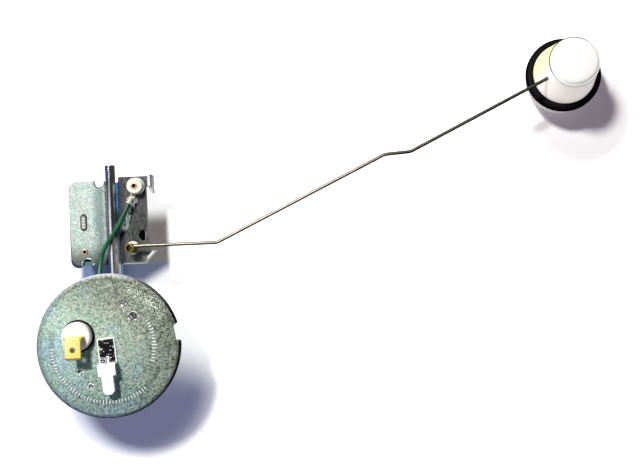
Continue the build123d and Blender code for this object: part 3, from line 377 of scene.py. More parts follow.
def zinc_plate():
    """Zinc on the housing plate: bright and grainy left of the rod, painted dark beside it, with painted
    blue reflections in the groove and painted light and shade at its edges and stops.
    """
    finish = Finish("zinc_plate", Metallic=1.0)
    x, y, z = finish.axes()
    grain = finish.noise(0.42 * mm, 2.0, 0.6)
    fine = finish.noise(0.2 * mm, 1.0)
    cloud = finish.noise(7 * mm, 3.0)
    patch = finish.noise(2.4 * mm, 2.0)
    streaks = finish.noise(1.3 * mm, 3.0, 0.6, stretch=(1.6, 0.4, 1), distortion=0.8)
    top = z.rise(plate_z - 0.25 * mm, plate_z - 0.08 * mm) * z.rise(plate_z + 0.2 * mm, plate_z + 0.08 * mm)
    beyond_rod = x.rise(1.0 * mm, 2.6 * mm)
    on_left_wing = x.rise(-3.2 * mm, -3.6 * mm)

    # The left wing, with painted shade towards the rod's fold, and darker towards the bottom
    wing = 0.66 + grain.swing(1.7) + fine.swing(2.0) + cloud.swing(0.12)
    inward = (x + cloud.swing(3 * mm)).rise(-9.5 * mm, -5.5 * mm)
    inward = inward * (1 - x.rise(-4.4 * mm, -3.6 * mm) * 0.5)
    low = y.rise(44 * mm, 34 * mm)
    wing = wing * (1 - inward * 0.40) * (1 - low * 0.70)
    tint = finish.mix(patch.rise(0.4, 0.65), (0.78, 0.93, 0.87), (0.88, 0.93, 0.86))
    tint = finish.mix(inward * 0.8, tint, (0.70, 0.93, 0.90))
    left = finish.shade(tint, wing)

    # The right wing, painted dark as if it mirrored a dark room, with a painted reflection tint higher up, a
    # painted lit patch low at the right, painted shade on the shoulder by the groove, and a sparkling
    # painted reflection of the lead
    dark_tone = 0.066 + grain.swing(0.24) + fine.swing(0.26) + cloud.swing(0.10) + streaks.swing(0.14)
    painted_reflection_tint = finish.mix(y.rise(50 * mm, 62 * mm) * cloud.rise(0.3, 0.6), (0.92, 1.0, 0.96), (0.98, 0.92, 1.12))
    painted_lit_patch = y.rise(46 * mm, 38 * mm) * x.rise(4.5 * mm, 6 * mm)
    right = finish.shade(painted_reflection_tint, dark_tone + painted_lit_patch * 0.055)
    shoulder = x.rise(2.6 * mm, 3.2 * mm) * x.rise(5.4 * mm, 4.2 * mm) * streaks.rise(0.72, 0.5)
    right = finish.mix(shoulder * 0.8, right, (0.035, 0.03, 0.045))
    painted_reflection = finish.line(spot(4.6, 47.0), spot(11.0, 62.8), 1.6 * mm)
    spark = streaks.rise(0.44, 0.54)
    right = finish.mix(painted_reflection * 0.85, right, finish.mix(spark, (0.05, 0.10, 0.085), (0.62, 0.74, 0.70)))
    colour = finish.mix(beyond_rod, left, right)

    # Cut edges with painted glints, painted shade along the left wing's edges near its lower left corner and
    # at its notch, painted glints at its scallop, and dark lines along its left and top edges
    edge = 1 - top
    glint = finish.noise(1.1 * mm, 2.0, 0.6).rise(0.50, 0.60)
    colour = finish.mix(edge * 0.85, colour, finish.mix(glint, (0.03, 0.04, 0.045), (0.75, 0.80, 0.80)))
    beyond_x = (plate_corner.x - x).most(0)
    beyond_y = (plate_corner.y - y).most(0)
    from_corner = (beyond_x**2 + beyond_y**2) ** 0.5
    outline = from_corner.rise(3.05 * mm, 3.35 * mm) * on_left_wing * y.rise(52 * mm, 44 * mm) * top
    colour = finish.mix(outline * 0.85, colour, (0.03, 0.05, 0.10))
    notch = finish.near(plate_notch, 2.25 * mm, 2.5 * mm) * top
    colour = finish.mix(notch * 0.8, colour, (0.04, 0.035, 0.04))
    scallop = finish.near(plate_scallop, 2.5 * mm, 2.8 * mm) * top
    colour = finish.mix(scallop * glint, colour, (0.95, 0.98, 0.98))
    border = (wing_left - x).most(y - wing_top).rise(0.0, 0.2 * mm) * on_left_wing * top
    colour = finish.mix(border * glint * 0.8, colour, (0.12, 0.11, 0.07))
    # A painted highlight along the right wing's lower edge
    hem_highlight = y.rise(33.75 * mm, 33.5 * mm) * x.rise(3.6 * mm, 4.2 * mm) * top

    # The folded stops, in painted light and shade: the upper one painted bright with dark strokes at a
    # crease and a band, and the lower one's wall painted in the warm brown of the shadow beside it, below a
    # bright top edge
    stop = z.rise(plate_z + 0.5 * mm, plate_z + 1.0 * mm)
    up = (z - plate_z) / stop_height + streaks.swing(0.25)
    along = (y - upper_stop_low) / upper_stop_length
    crease = (up - along * 0.4 - 0.12).size().rise(0.12, 0.06) * streaks.rise(0.42, 0.5)
    band = (up - along * 0.15 - 0.68).size().rise(0.20, 0.12) * along.rise(0.2, 0.35)
    lower_stop = y.rise(50 * mm, 48 * mm)
    stroke = (crease.most(band * 0.8) * (1 - lower_stop)).most(lower_stop * up.rise(0.92, 0.84))
    stroke_and_shade_colour = finish.mix(lower_stop, (0.14, 0.13, 0.13), (0.42, 0.38, 0.34))
    colour = finish.mix(stop, colour, finish.mix(stroke, (0.92, 0.92, 0.93), stroke_and_shade_colour))

    # Painted blue reflection in the groove
    groove = x.size().rise(3.3 * mm, 2.9 * mm) * z.rise(plate_z - 0.1 * mm, plate_z - 0.5 * mm)
    colour = finish.mix(groove, colour, (0.20, 0.32, 0.42))
    finish.set("Base Color", colour)
    finish.set("Roughness", 0.72 - beyond_rod * 0.3 + grain.swing(0.3) - edge * 0.2)

    # Painted glow, standing in for reflections and light: in the groove, on the lead's painted reflection,
    # on the bright faces of the stops and the hem, and warm on the lower stop's wall
    sky = y.rise(53 * mm, 60 * mm) * streaks.rise(0.38, 0.56)
    sheen = finish.mix(sky, (0.02, 0.045, 0.045), (0.08, 0.34, 0.70))
    sheen = finish.mix(y.rise(34.5 * mm, 32.5 * mm), sheen, (0.40, 0.48, 0.58))
    sheen = finish.mix(x.rise(0.5 * mm, -0.5 * mm), sheen, (0.10, 0.20, 0.42))
    shine = finish.mix(groove, unlit, sheen)
    shine = finish.mix(painted_reflection * spark * x.rise(2.6 * mm, 3.2 * mm), shine, (0.34, 0.44, 0.40))
    shine = finish.mix((stop * (1 - stroke)).most(hem_highlight), shine, (0.6, 0.6, 0.62))
    shine = finish.mix(stop * stroke * lower_stop, shine, (0.26, 0.23, 0.20))
    finish.set("Emission Color", shine)
    finish.set("Emission Strength", 0.6)
    finish.bump(grain * (1 - beyond_rod * 0.7), 0.02 * mm)
    return finish


def tinned_cover():
    """Satin tinned steel of the drawn can, with faint drawing lines and painted teal shade by the scallop.
    """
    finish = Finish("tinned_cover", Metallic=1.0)
    cloud = finish.noise(8 * mm, 3.0)
    lines = finish.noise(0.4 * mm, 2.0, 0.6, stretch=(1, 1, 0.08))
    grain = finish.noise(0.3 * mm)
    colour = finish.mix(cloud.rise(0.35, 0.7), (0.34, 0.33, 0.31), (0.44, 0.43, 0.41))
    # Painted teal shade where the scallop shows the can
    by_scallop = finish.near(plate_scallop, 3 * mm, 4 * mm)
    colour = finish.mix(by_scallop * 0.8, colour, (0.09, 0.28, 0.29))
    finish.set("Base Color", finish.shade(colour, 0.85 + lines.swing(0.5)))
    finish.set("Roughness", 0.34 + grain.swing(0.2) + cloud.swing(0.2))
    finish.bump(lines, 0.01 * mm)
    return finish


def bright_rod():
    """Bright drawn rod with fine scratches along it, a painted reflection tint on its left flank and a
    painted glow on its lower right flank.
    """
    finish = Finish("bright_rod", Metallic=1.0)
    x, y = finish.axes()[:2]
    lines = finish.noise(0.25 * mm, 2.0, 0.6, stretch=(1, 0.02, 1))
    cloud = finish.noise(6 * mm, 3.0)
    colour = finish.mix(cloud.rise(0.35, 0.7), (0.80, 0.81, 0.86), (0.90, 0.90, 0.90))
    # A painted pink reflection tint on the left flank
    painted_reflection_tint = y.rise(36 * mm, 46 * mm) * x.rise(-0.7 * mm, -1.1 * mm)
    colour = finish.mix(painted_reflection_tint, colour, (0.92, 0.62, 0.46))
    finish.set("Base Color", finish.shade(colour, 1.0 - lines.rise(0.55, 0.75) * 0.25))
    # A painted glow on the lower right flank
    low = y.rise(46 * mm, 42 * mm) * x.rise(0.4 * mm, 0.8 * mm) * y.rise(28 * mm, 31 * mm)
    finish.set("Emission Color", finish.mix(low, unlit, (0.12, 0.11, 0.105)))
    finish.set("Emission Strength", 1.0)
    finish.set("Roughness", 0.08 + (lines - 0.5).size() * 0.15 + (cloud - 0.5).size() * 0.08)
    finish.bump(lines, 0.004 * mm)
    return finish


def brass():
    """Yellow brass: the gauge blade, painted brighter towards its upper left, with painted shade in dark
    lines at its fold, tip and hole and on its sides, and the pivot's dull hub.
    """
    finish = Finish("brass")
    x, y, z = finish.axes()
    cloud = finish.noise(2.5 * mm, 3.0)
    lines = finish.noise(0.2 * mm, 2.0, 0.6, stretch=(1, 0.1, 1))
    from_middle = x - gauge_hole.x
    # Painted light: a brighter yellow towards the left and the top
    yellow = (cloud + from_middle * -60 + (y - 1 * mm) * 25).rise(0.3, 0.8)
    colour = finish.mix(yellow, (1.0, 0.86, 0.20), (1.0, 0.98, 0.46))
    # Painted shade: dark lines at the fold, the tip and the hole, and orange sides below the fold
    upper = z.rise(gauge_fold_z, gauge_fold_z + 1 * mm)
    fold = (y - 4.6 * mm).size().rise(0.5 * mm, 0.25 * mm)
    fold = fold * (0.35 + from_middle.size().rise(2.4 * mm, 3.0 * mm) * 0.65)
    tip = y.rise(-2.9 * mm, -3.2 * mm) * upper
    ring = finish.near(gauge_hole, 1.0 * mm, 1.3 * mm) * upper
    colour = finish.mix((fold * upper).most(tip * 0.9).most(ring), colour, (0.38, 0.17, 0.02))
    side = z.rise(gauge_fold_z, gauge_fold_z - 1 * mm)
    colour = finish.mix(side * 0.7, colour, (0.75, 0.38, 0.06))
    hub = finish.near(pivot, 3 * mm, 4 * mm)
    dark_tone = finish.mix(cloud.rise(0.4, 0.6), (0.16, 0.12, 0.03), (0.42, 0.33, 0.10))
    finish.set("Base Color", finish.mix(hub, colour, dark_tone))
    finish.set("Metallic", 0.2 + hub * 0.75)
    finish.set("Roughness", 0.42 - hub * 0.15 + lines.swing(0.3))
    finish.bump(lines, 0.006 * mm)
    return finish


def tinned_tag():
    """Bright tin: the earth terminal's foot painted dark as a mirror of a dark room, with painted glints,
    and its blade satin with a faint painted glow and a painted dark slit by its rib.
    """
    finish = Finish("tinned_tag")
    z = finish.axes()[2]
    along = Vector((math.sin(earth_turn), -math.cos(earth_turn)))
    side = Vector((-along.y, along.x))
    u, v = finish.ruled(earth_origin, along)
    half = earth_foot_width / 2
    inside = u.rise(0.35 * mm, 0.6 * mm) * v.size().rise(half - 0.35 * mm, half - 0.6 * mm)
    inside = inside * z.rise(face_z + 1.2 * mm, face_z + 1.0 * mm) * z.rise(face_z, face_z + 0.3 * mm)
    streak = finish.noise(1.5 * mm, 3.0, 0.55, stretch=(0.7, 1.3, 1), distortion=1.4)
    lines = finish.noise(0.25 * mm, 2.0)
    # The foot painted dark as a mirror of a dark room, broken by painted glints
    dark = inside * (1 - streak.rise(0.60, 0.64))
    colour = finish.mix(dark, (0.98, 0.97, 0.98), (0.10, 0.10, 0.11))
    # A painted slit of shade beside the rib
    rib = earth_origin + along * 7.9 * mm - side * 0.25 * mm
    slit = finish.line(rib, rib + along * 2.5 * mm, 0.5 * mm) * z.rise(face_z + 0.6 * mm, face_z + 1.0 * mm)
    colour = finish.mix(slit * 0.9, colour, (0.10, 0.04, 0.26))
    crimp = finish.near(lead_crimp, 1.9 * mm, 2.6 * mm)
    patches = finish.noise(0.8 * mm, 2.0, 0.6, distortion=0.8).rise(0.44, 0.58)
    colour = finish.mix(crimp, colour, finish.mix(patches, (0.16, 0.11, 0.07), (0.80, 0.79, 0.70)))
    finish.set("Base Color", colour)
    finish.set("Metallic", 0.15 + dark * 0.8)
    finish.set("Roughness", 0.5 - dark * 0.36 + lines.swing(0.15))
    # A faint painted glow on all but the foot, the slit and the crimp
    finish.set("Emission Color", finish.mix(dark.most(slit).most(crimp), (0.9, 0.85, 0.95), unlit))
    finish.set("Emission Strength", 0.1)
    finish.bump(streak, 0.02 * mm)
    return finish


def white_nylon():
    """Creamy moulded nylon: aged at the lead's terminal, with painted shade round the cap washer's rim and
    under it, and wound with wire where the slot shows it, in painted light and shade.
    """
    finish = Finish("white_nylon", Subsurface_Weight=0.15, Subsurface_Scale=1 * mm)
    x, y, z = finish.axes()
    cloud = finish.noise(3 * mm, 3.0)
    grain = finish.noise(0.3 * mm)
    colour = finish.mix(cloud.rise(0.35, 0.7), (0.92, 0.92, 0.86), (0.95, 0.94, 0.89))

    # The aged washers at the lead's terminal, the lower one greenish, with painted shade round the cap's rim
    # and on the lower washer under it
    away = finish.away(lead_terminal)
    base = z.rise(-10.6 * mm, -10.9 * mm)
    aged_and_shaded = finish.mix(base, (0.88, 0.85, 0.74), (0.46, 0.49, 0.37))
    aged_and_shaded = finish.mix(base * away.rise(3.2 * mm, 3.5 * mm), aged_and_shaded, (0.80, 0.83, 0.70))
    aged_and_shaded = finish.mix((1 - base) * away.rise(2.9 * mm, 3.3 * mm), aged_and_shaded, (0.66, 0.64, 0.54))
    colour = finish.mix(away.rise(6 * mm, 5 * mm), colour, aged_and_shaded)

    # Where the slot shows the winding: painted shade in the slot's gap, and painted light and shade on the
    # wound turns
    by_slot = z.rise(-12.0 * mm, -12.4 * mm) * x.rise(-8 * mm, -9 * mm)
    bead_pitch = 1.2 * mm
    beads = (y * (math.tau / bead_pitch)).sine() * 0.5 + 0.5
    strip = (x - plate_slot.x).size().rise(0.9 * mm, 0.6 * mm)
    strip = strip * (y - plate_slot.y).size().rise(2.9 * mm, 2.4 * mm)
    wound = finish.mix(beads * 0.8 + (grain - 0.5), (0.74, 0.78, 0.70), (0.12, 0.13, 0.09))
    colour = finish.mix(by_slot, colour, finish.mix(strip, (0.02, 0.035, 0.06), wound))
    finish.set("Base Color", colour)
    finish.set("Roughness", 0.38 + grain.swing(0.2))
    finish.bump(grain, 0.006 * mm)
    return finish


def black_rubber():
    """Matt black rubber."""
    finish = Finish("black_rubber", Specular_IOR_Level=0.08)
    cloud = finish.noise(3 * mm, 3.0)
    grain = finish.noise(0.25 * mm)
    finish.set("Base Color", finish.mix(cloud, (0.002, 0.0015, 0.002), (0.006, 0.005, 0.006)))
    finish.set("Roughness", 0.6 + grain.swing(0.25))
    finish.bump(grain, 0.01 * mm)
    return finish


def spring_wire():
    """Drawn steel wire, greyed and finely grained, darker towards the float."""
    finish = Finish("spring_wire", Metallic=1.0)
    x = finish.axes()[0]
    cloud = finish.noise(5 * mm, 3.0)
    grain = finish.noise(0.3 * mm, 2.0)
    colour = finish.mix(cloud.rise(0.3, 0.7), (0.25, 0.215, 0.175), (0.32, 0.28, 0.23))
    finish.set("Base Color", finish.shade(colour, 1 - x.rise(105 * mm, 135 * mm) * 0.5))
    finish.set("Roughness", 0.44 + grain.swing(0.2))
    finish.bump(grain, 0.004 * mm)
    return finish


def copper():
    """Copper of the hollow rivets, with a cloudy tone."""
    finish = Finish("copper", Metallic=1.0)
    cloud = finish.noise(0.8 * mm, 2.0)
    finish.set("Base Color", finish.mix(cloud.rise(0.35, 0.65), (0.62, 0.36, 0.22), (0.88, 0.66, 0.44)))
    finish.set("Roughness", 0.3 + cloud.swing(0.3))
    return finish


def green_sleeve():
    """Green insulation of the signal lead, with a soft gloss."""
    finish = Finish("green_sleeve")
    cloud = finish.noise(4 * mm, 3.0)
    grain = finish.noise(0.35 * mm)
    finish.set("Base Color", finish.mix(cloud.rise(0.3, 0.7), (0.008, 0.085, 0.03), (0.014, 0.13, 0.055)))
    finish.set("Roughness", 0.3 + grain.swing(0.2))
    finish.bump(grain, 0.008 * mm)
    return finish


def float_shell():
    """White translucent moulding with a painted glow that is stronger on the wall between dome and ring, the
    wall painted cream at its upper left, and painted shade where the wire enters.
    """
    finish = Finish("float_shell", Subsurface_Weight=0.3, Subsurface_Scale=3 * mm)
    x, y, z = finish.axes()
    cloud = finish.noise(6 * mm, 3.0)
    grain = finish.noise(0.4 * mm)
    wall = z.rise(-0.5 * mm, -2.5 * mm) * z.rise(-20 * mm, -17 * mm)
    upper_left = ((dome_centre.x - x) * 0.85 + (y - dome_centre.y) * 0.5).rise(6 * mm, 10 * mm)
    white = finish.mix(cloud.rise(0.3, 0.7), (0.96, 0.96, 0.93), (0.98, 0.97, 0.95))
    # Painted light: the wall cream at its upper left
    colour = finish.mix(wall * upper_left, white, (0.96, 0.95, 0.58))
    # Painted shade in the hole where the wire enters
    entry = finish.near(wire_entry, 0.8 * mm, 1.3 * mm)
    entry = entry * z.rise(-9.0 * mm, -8.4 * mm) * z.rise(-5.2 * mm, -5.8 * mm)
    finish.set("Base Color", finish.mix(entry * 0.9, colour, (0.08, 0.07, 0.06)))
    # A painted glow, stronger on the wall and cream at its upper left
    painted_glow = finish.mix(upper_left, (1.25, 1.2, 1.12), (0.92, 0.93, 0.48))
    finish.set("Emission Color", finish.mix(wall, (0.40, 0.40, 0.39), painted_glow))
    finish.set("Emission Strength", 0.3)
    finish.set("Roughness", 0.32 + grain.swing(0.15))
    finish.bump(grain, 0.005 * mm)
    return finish


def brown_card():
    """Brown fibre card."""
    finish = Finish("brown_card")
    grain = finish.noise(0.4 * mm, 3.0)
    finish.set("Base Color", finish.mix(grain, (0.20, 0.11, 0.05), (0.36, 0.21, 0.11)))
    finish.set("Roughness", 0.7)
    finish.bump(grain, 0.01 * mm)
    return finish


def resistance_wire():
    """Fine alloy wire."""
    finish = Finish("resistance_wire", Metallic=1.0)
    grain = finish.noise(0.3 * mm, 2.0)
    finish.set("Base Color", finish.mix(grain, (0.50, 0.47, 0.42), (0.68, 0.65, 0.60)))
    finish.set("Roughness", 0.32 + grain.swing(0.2))
    return finish


def spring_bronze():
    """Bronze strip of the wiper and clips."""
    finish = Finish("spring_bronze", Metallic=1.0)
    cloud = finish.noise(2 * mm, 3.0)
    finish.set("Base Color", finish.mix(cloud.rise(0.3, 0.7), (0.66, 0.44, 0.22), (0.80, 0.58, 0.32)))
    finish.set("Roughness", 0.33 + cloud.swing(0.2))
    return finish


def silver():
    """Silver of the wiper's contact, with a scuffed face."""
    finish = Finish("silver", Metallic=1.0)
    cloud = finish.noise(0.5 * mm, 2.0)
    finish.set("Base Color", finish.mix(cloud, (0.80, 0.80, 0.77), (0.92, 0.92, 0.90)))
    finish.set("Roughness", 0.25 + cloud.swing(0.3))
    return finish


def bright_washer():
    """Bright plated steel of the bush and clip."""
    finish = Finish("bright_washer", Metallic=1.0)
    cloud = finish.noise(0.9 * mm, 2.0)
    finish.set("Base Color", finish.mix(cloud, (0.78, 0.77, 0.72), (0.94, 0.93, 0.90)))
    finish.set("Roughness", 0.26 + cloud.swing(0.3))
    finish.bump(cloud, 0.008 * mm)
    return finish


finishes = {
    make.__name__: make()
    for make in (
        zinc_flange,
        zinc_plate,
        tinned_cover,
        bright_rod,
        brass,
        tinned_tag,
        white_nylon,
        black_rubber,
        spring_wire,
        copper,
        green_sleeve,
        float_shell,
        brown_card,
        resistance_wire,
        spring_bronze,
        silver,
        bright_washer,
    )
}
node_slots = {part["node"]: part["material_slot"] for part in frame["record"]["subparts"]}
node_bodies = {name: piece["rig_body"] for name, piece in nodes.items()}
for name, piece in nodes.items():
    piece.material_slots[0].material = finishes[node_slots[name]].material


# Modelling helpers

def deselect():
    bpy.ops.object.select_all(action="DESELECT")


@contextmanager
def editing(piece):
    """Edit mode on one piece."""
    deselect()
    piece.select_set(True)
    bpy.context.view_layer.objects.active = piece
    bpy.ops.object.mode_set(mode="EDIT")
    yield
    bpy.ops.object.mode_set(mode="OBJECT")


def pick(piece, kind, test):
    """Selects the faces or edges of a piece in edit mode that pass a test."""
    bpy.ops.mesh.select_all(action="DESELECT")
    bpy.ops.mesh.select_mode(type=kind)
    mesh = bmesh.from_edit_mesh(piece.data)
    for item in {"FACE": mesh.faces, "EDGE": mesh.edges}[kind]:
        item.select_set(bool(test(item)))
    mesh.select_flush_mode()
    bmesh.update_edit_mesh(piece.data)


def finish_piece(piece, name, body, slot, angle=35.0):
    """Names a new piece, fixes its place in its mesh, and gives it its finish and its body."""
    deselect()
    piece.select_set(True)
    bpy.context.view_layer.objects.active = piece
    bpy.ops.object.transform_apply(location=True, rotation=True, scale=True)
    bpy.ops.object.shade_smooth_by_angle(angle=math.radians(angle))
    piece.name = name
    piece.data.name = name
    piece.data.materials.clear()
    piece.data.materials.append(finishes[slot].material)
    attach(piece, body)
    return piece


def flat_shading(piece):
    """Keeps the shading of broad faces flat up to the bevels round them."""
    bpy.context.view_layer.objects.active = piece
    bpy.ops.object.modifier_add(type="WEIGHTED_NORMAL")
    weighting = piece.modifiers[-1]
    weighting.keep_sharp = True
    weighting.weight = 100
    bpy.ops.object.modifier_apply(modifier=weighting.name)


def softened(node, name, width, steps=2):
    """A copy of a solid with its sharp edges broken, which stands for it."""
    flat = math.radians(0.5)
    sharp = math.radians(40)
    piece = nodes[node].copy()
    piece.data = nodes[node].data.copy()
    bpy.context.scene.collection.objects.link(piece)
    piece.parent = None
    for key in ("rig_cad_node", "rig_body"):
        del piece[key]
    with editing(piece):
        bpy.ops.mesh.select_all(action="SELECT")
        bpy.ops.mesh.customdata_custom_splitnormals_clear()
        bpy.ops.mesh.remove_doubles(threshold=0.002 * mm)
        bpy.ops.mesh.dissolve_limited(angle_limit=flat)
        pick(piece, "EDGE", lambda edge: len(edge.link_faces) == 2 and edge.calc_face_angle() > sharp)
        bpy.ops.mesh.bevel(offset=width, segments=steps, profile=0.6, clamp_overlap=True)
    made = finish_piece(piece, name, node_bodies[node], node_slots[node], angle=60)
    flat_shading(made)
    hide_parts(node)


# Camera, light and floor

def make_camera():
    """Straight above the object, turned a little, as the photograph was taken."""
    photo_width = 640
    focal_length = 750            # in the photograph's pixels
    camera = bpy.data.objects.new("camera", bpy.data.cameras.new("camera"))
    bpy.context.scene.collection.objects.link(camera)
    camera.location = (89.8 * mm, 42.4 * mm, 313.4 * mm)
    camera.rotation_euler = (0, 0, math.radians(-2.5))
    camera.data.sensor_width = 36
    camera.data.lens = camera.data.sensor_width * focal_length / photo_width
    camera.data.clip_start = 0.01
    bpy.context.scene.camera = camera


def make_key_lamp():
    """One round lamp at the upper left, which throws the shadows to the lower right."""
    place = Vector((-0.15, 0.395, 0.585))
    aim = Vector((0.06, 0.05, -0.02))
    lamp = bpy.data.lights.new("key_lamp", "AREA")
    lamp.shape = "DISK"
    lamp.size = 0.1
    lamp.energy = 6.0
    lamp.color = (1.0, 0.985, 0.95)
    key = bpy.data.objects.new("key_lamp", lamp)
    bpy.context.scene.collection.objects.link(key)
    key.location = place
    key.rotation_euler = (aim - place).to_track_quat("-Z", "Y").to_euler()


class Surroundings(Finish):
    """The world's nodes, with the same maths as a finish."""

    def __init__(self, world):
        self.tree = world.node_tree
        self.shader = self.tree.nodes["Background"]
        self.where = self.node("ShaderNodeTexCoord", output="Generated")


def make_world():
    """White to the camera, a cool fill for the shadows, and a room with one window for reflections."""
    world = bpy.data.worlds.new("studio")
    world.use_nodes = True
    bpy.context.scene.world = world
    room = Surroundings(world)
    x, y, z = room.axes()
    right = x.rise(-0.35, 0.35)
    walls = room.mix(right, (0.06, 0.12, 0.30), (0.06, 0.05, 0.04))
    pale = room.mix(right, (0.55, 0.66, 0.90), (0.50, 0.48, 0.45))
    ceiling = room.mix(right, (0.025, 0.03, 0.04), (0.03, 0.03, 0.03))
    seen = room.mix(z.rise(0.35, 0.10) * (y - x.size() * 0.35).rise(0.0, 0.25), walls, pale)
    seen = room.mix(z.rise(0.45, 0.85), seen, ceiling)

    # The window is overhead, to the left
    up = z.most(0.05)
    across = x / up * -1
    along = y / up
    window = across.rise(0.22, 0.29) * across.rise(1.3, 0.9)
    window = window * along.rise(-0.10, 0.0) * along.rise(0.4, 0.25) * z.rise(0.3, 0.4)
    seen = room.mix(window, seen, (1.35, 1.35, 1.3))

    path = room.tree.nodes.new("ShaderNodeLightPath")
    camera_ray = Value(room, path.outputs["Is Camera Ray"])
    glossy_ray = Value(room, path.outputs["Is Glossy Ray"])
    colour = room.mix(glossy_ray, (0.13, 0.135, 0.17), seen)
    colour = room.mix(camera_ray, colour, (1.0, 1.0, 1.0))
    room.set("Color", colour)
    room.set("Strength", 1.0)


def make_floor():
    """White paper under the object. It is clear from below, so that views from there aren't blocked."""
    gap_below = 0.05 * mm
    deselect()
    bpy.ops.mesh.primitive_plane_add(size=4, location=(0.1, 0.05, cad_box[0].z - gap_below))
    bpy.ops.object.transform_apply(location=True)
    floor = bpy.context.object
    floor.name = "floor"
    paper = Finish("paper")
    paper.set("Roughness", 1.0)
    paper.set("Specular IOR Level", 0.0)
    x, y = paper.axes()[:2]
    path = paper.tree.nodes.new("ShaderNodeLightPath")
    glossy = Value(paper, path.outputs["Is Glossy Ray"])
    camera_ray = Value(paper, path.outputs["Is Camera Ray"])
    through_ray = Value(paper, path.outputs["Is Transmission Ray"])
    seen = camera_ray.most(through_ray)

    # The sheet's colour: a painted bluish shadow between disc and plate and below the disc, and painted dark
    # to mirror rays, so that the metal that mirrors it stays dark
    gap = x.rise(-22 * mm, -19 * mm) * x.rise(6 * mm, -4 * mm)
    gap = gap * y.rise(20 * mm, 24 * mm) * y.rise(44 * mm, 40 * mm)
    below_disc = paper.near(spot(1, -23), 25 * mm, 38 * mm) * y.rise(-20 * mm, -32 * mm)
    sheet = paper.mix(gap, (0.97, 0.97, 0.97), (0.14, 0.19, 0.30))
    sheet = paper.mix(below_disc, sheet, (0.42, 0.45, 0.54))
    in_metal = paper.mix(x.rise(-10 * mm, 10 * mm), (0.05, 0.06, 0.14), (0.05, 0.042, 0.035))
    paper.set("Base Color", paper.mix(glossy, sheet, in_metal))

    # Its glow to the camera, painted light and shade: near white, which hides faint shadows, and low and
    # tinted where the shadows of disc, plate and float show
    by_disc = paper.near(spot(3, -24), 26 * mm, 48 * mm) * (y + x * 0.35).rise(8 * mm, -18 * mm)
    by_plate = x.rise(25 * mm, 19 * mm) * y.rise(59 * mm, 50 * mm) * x.rise(-30 * mm, -20 * mm)
    by_plate = by_plate * (y - (x - 8 * mm).most(0) * 0.6).rise(20 * mm, 27 * mm)
    by_float = paper.near(spot(213, 92), 19 * mm, 31 * mm)
    glow = paper.mix(by_disc, (0.85, 0.85, 0.84), (0.105, 0.11, 0.19))
    warm = paper.mix(y.rise(31 * mm, 35 * mm), (0.035, 0.05, 0.11), (0.10, 0.075, 0.055))
    glow = paper.mix(by_plate, glow, warm)
    glow = paper.mix(by_float, glow, (0.06, 0.03, 0.04))

    # Its glow to the metal that mirrors it, a painted reflection that lights its undersides: grey under the
    # disc and the plate
    under_disc = paper.near(spot(2, -2), 26 * mm, 42 * mm)
    under_plate = paper.near(spot(-1, 52), 20 * mm, 32 * mm)
    painted_reflection = paper.mix(glossy * under_disc.most(under_plate), unlit, (0.34, 0.35, 0.38))
    paper.set("Emission Color", paper.mix(seen, painted_reflection, glow))
    paper.set("Emission Strength", 1.0)

    # Clear on its lower side
    clear = paper.tree.nodes.new("ShaderNodeBsdfTransparent")
    from_below = paper.node("ShaderNodeNewGeometry", output="Backfacing")
    cover = paper.tree.nodes.new("ShaderNodeMixShader")
    paper.plug(cover.inputs[0], from_below)
    paper.tree.links.new(paper.shader.outputs[0], cover.inputs[1])
    paper.tree.links.new(clear.outputs[0], cover.inputs[2])
    paper.tree.links.new(cover.outputs[0], paper.tree.nodes["Material Output"].inputs[0])
    floor.data.materials.append(paper.material)


# Pieces modelled anew

def make_support_rod():
    """Rod with broken ends and a sawn dimple in each."""
    low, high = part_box("support_rod")
    radius = (high.x - low.x) / 2
    length = high.y - low.y
    bpy.ops.mesh.primitive_cylinder_add(
        vertices=96, radius=radius, depth=length, location=(low + high) / 2, rotation=(math.pi / 2, 0, 0)
    )
    rod = bpy.context.object

    def round_end(edge):
        on_end = all(abs(abs(vertex.co.z) - length / 2) < 0.001 * mm for vertex in edge.verts)
        return on_end and edge.verts[0].co.xy.length > radius * 0.99

    with editing(rod):
        pick(rod, "FACE", lambda face: len(face.verts) > 4)
        bpy.ops.mesh.inset(thickness=0.9 * mm)
        bpy.ops.mesh.inset(thickness=0.5 * mm, depth=-0.12 * mm)
        pick(rod, "EDGE", round_end)
        bpy.ops.mesh.bevel(offset=0.3 * mm, segments=3)
    finish_piece(rod, "rod", "root", "bright_rod", angle=30)
    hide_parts("support_rod")


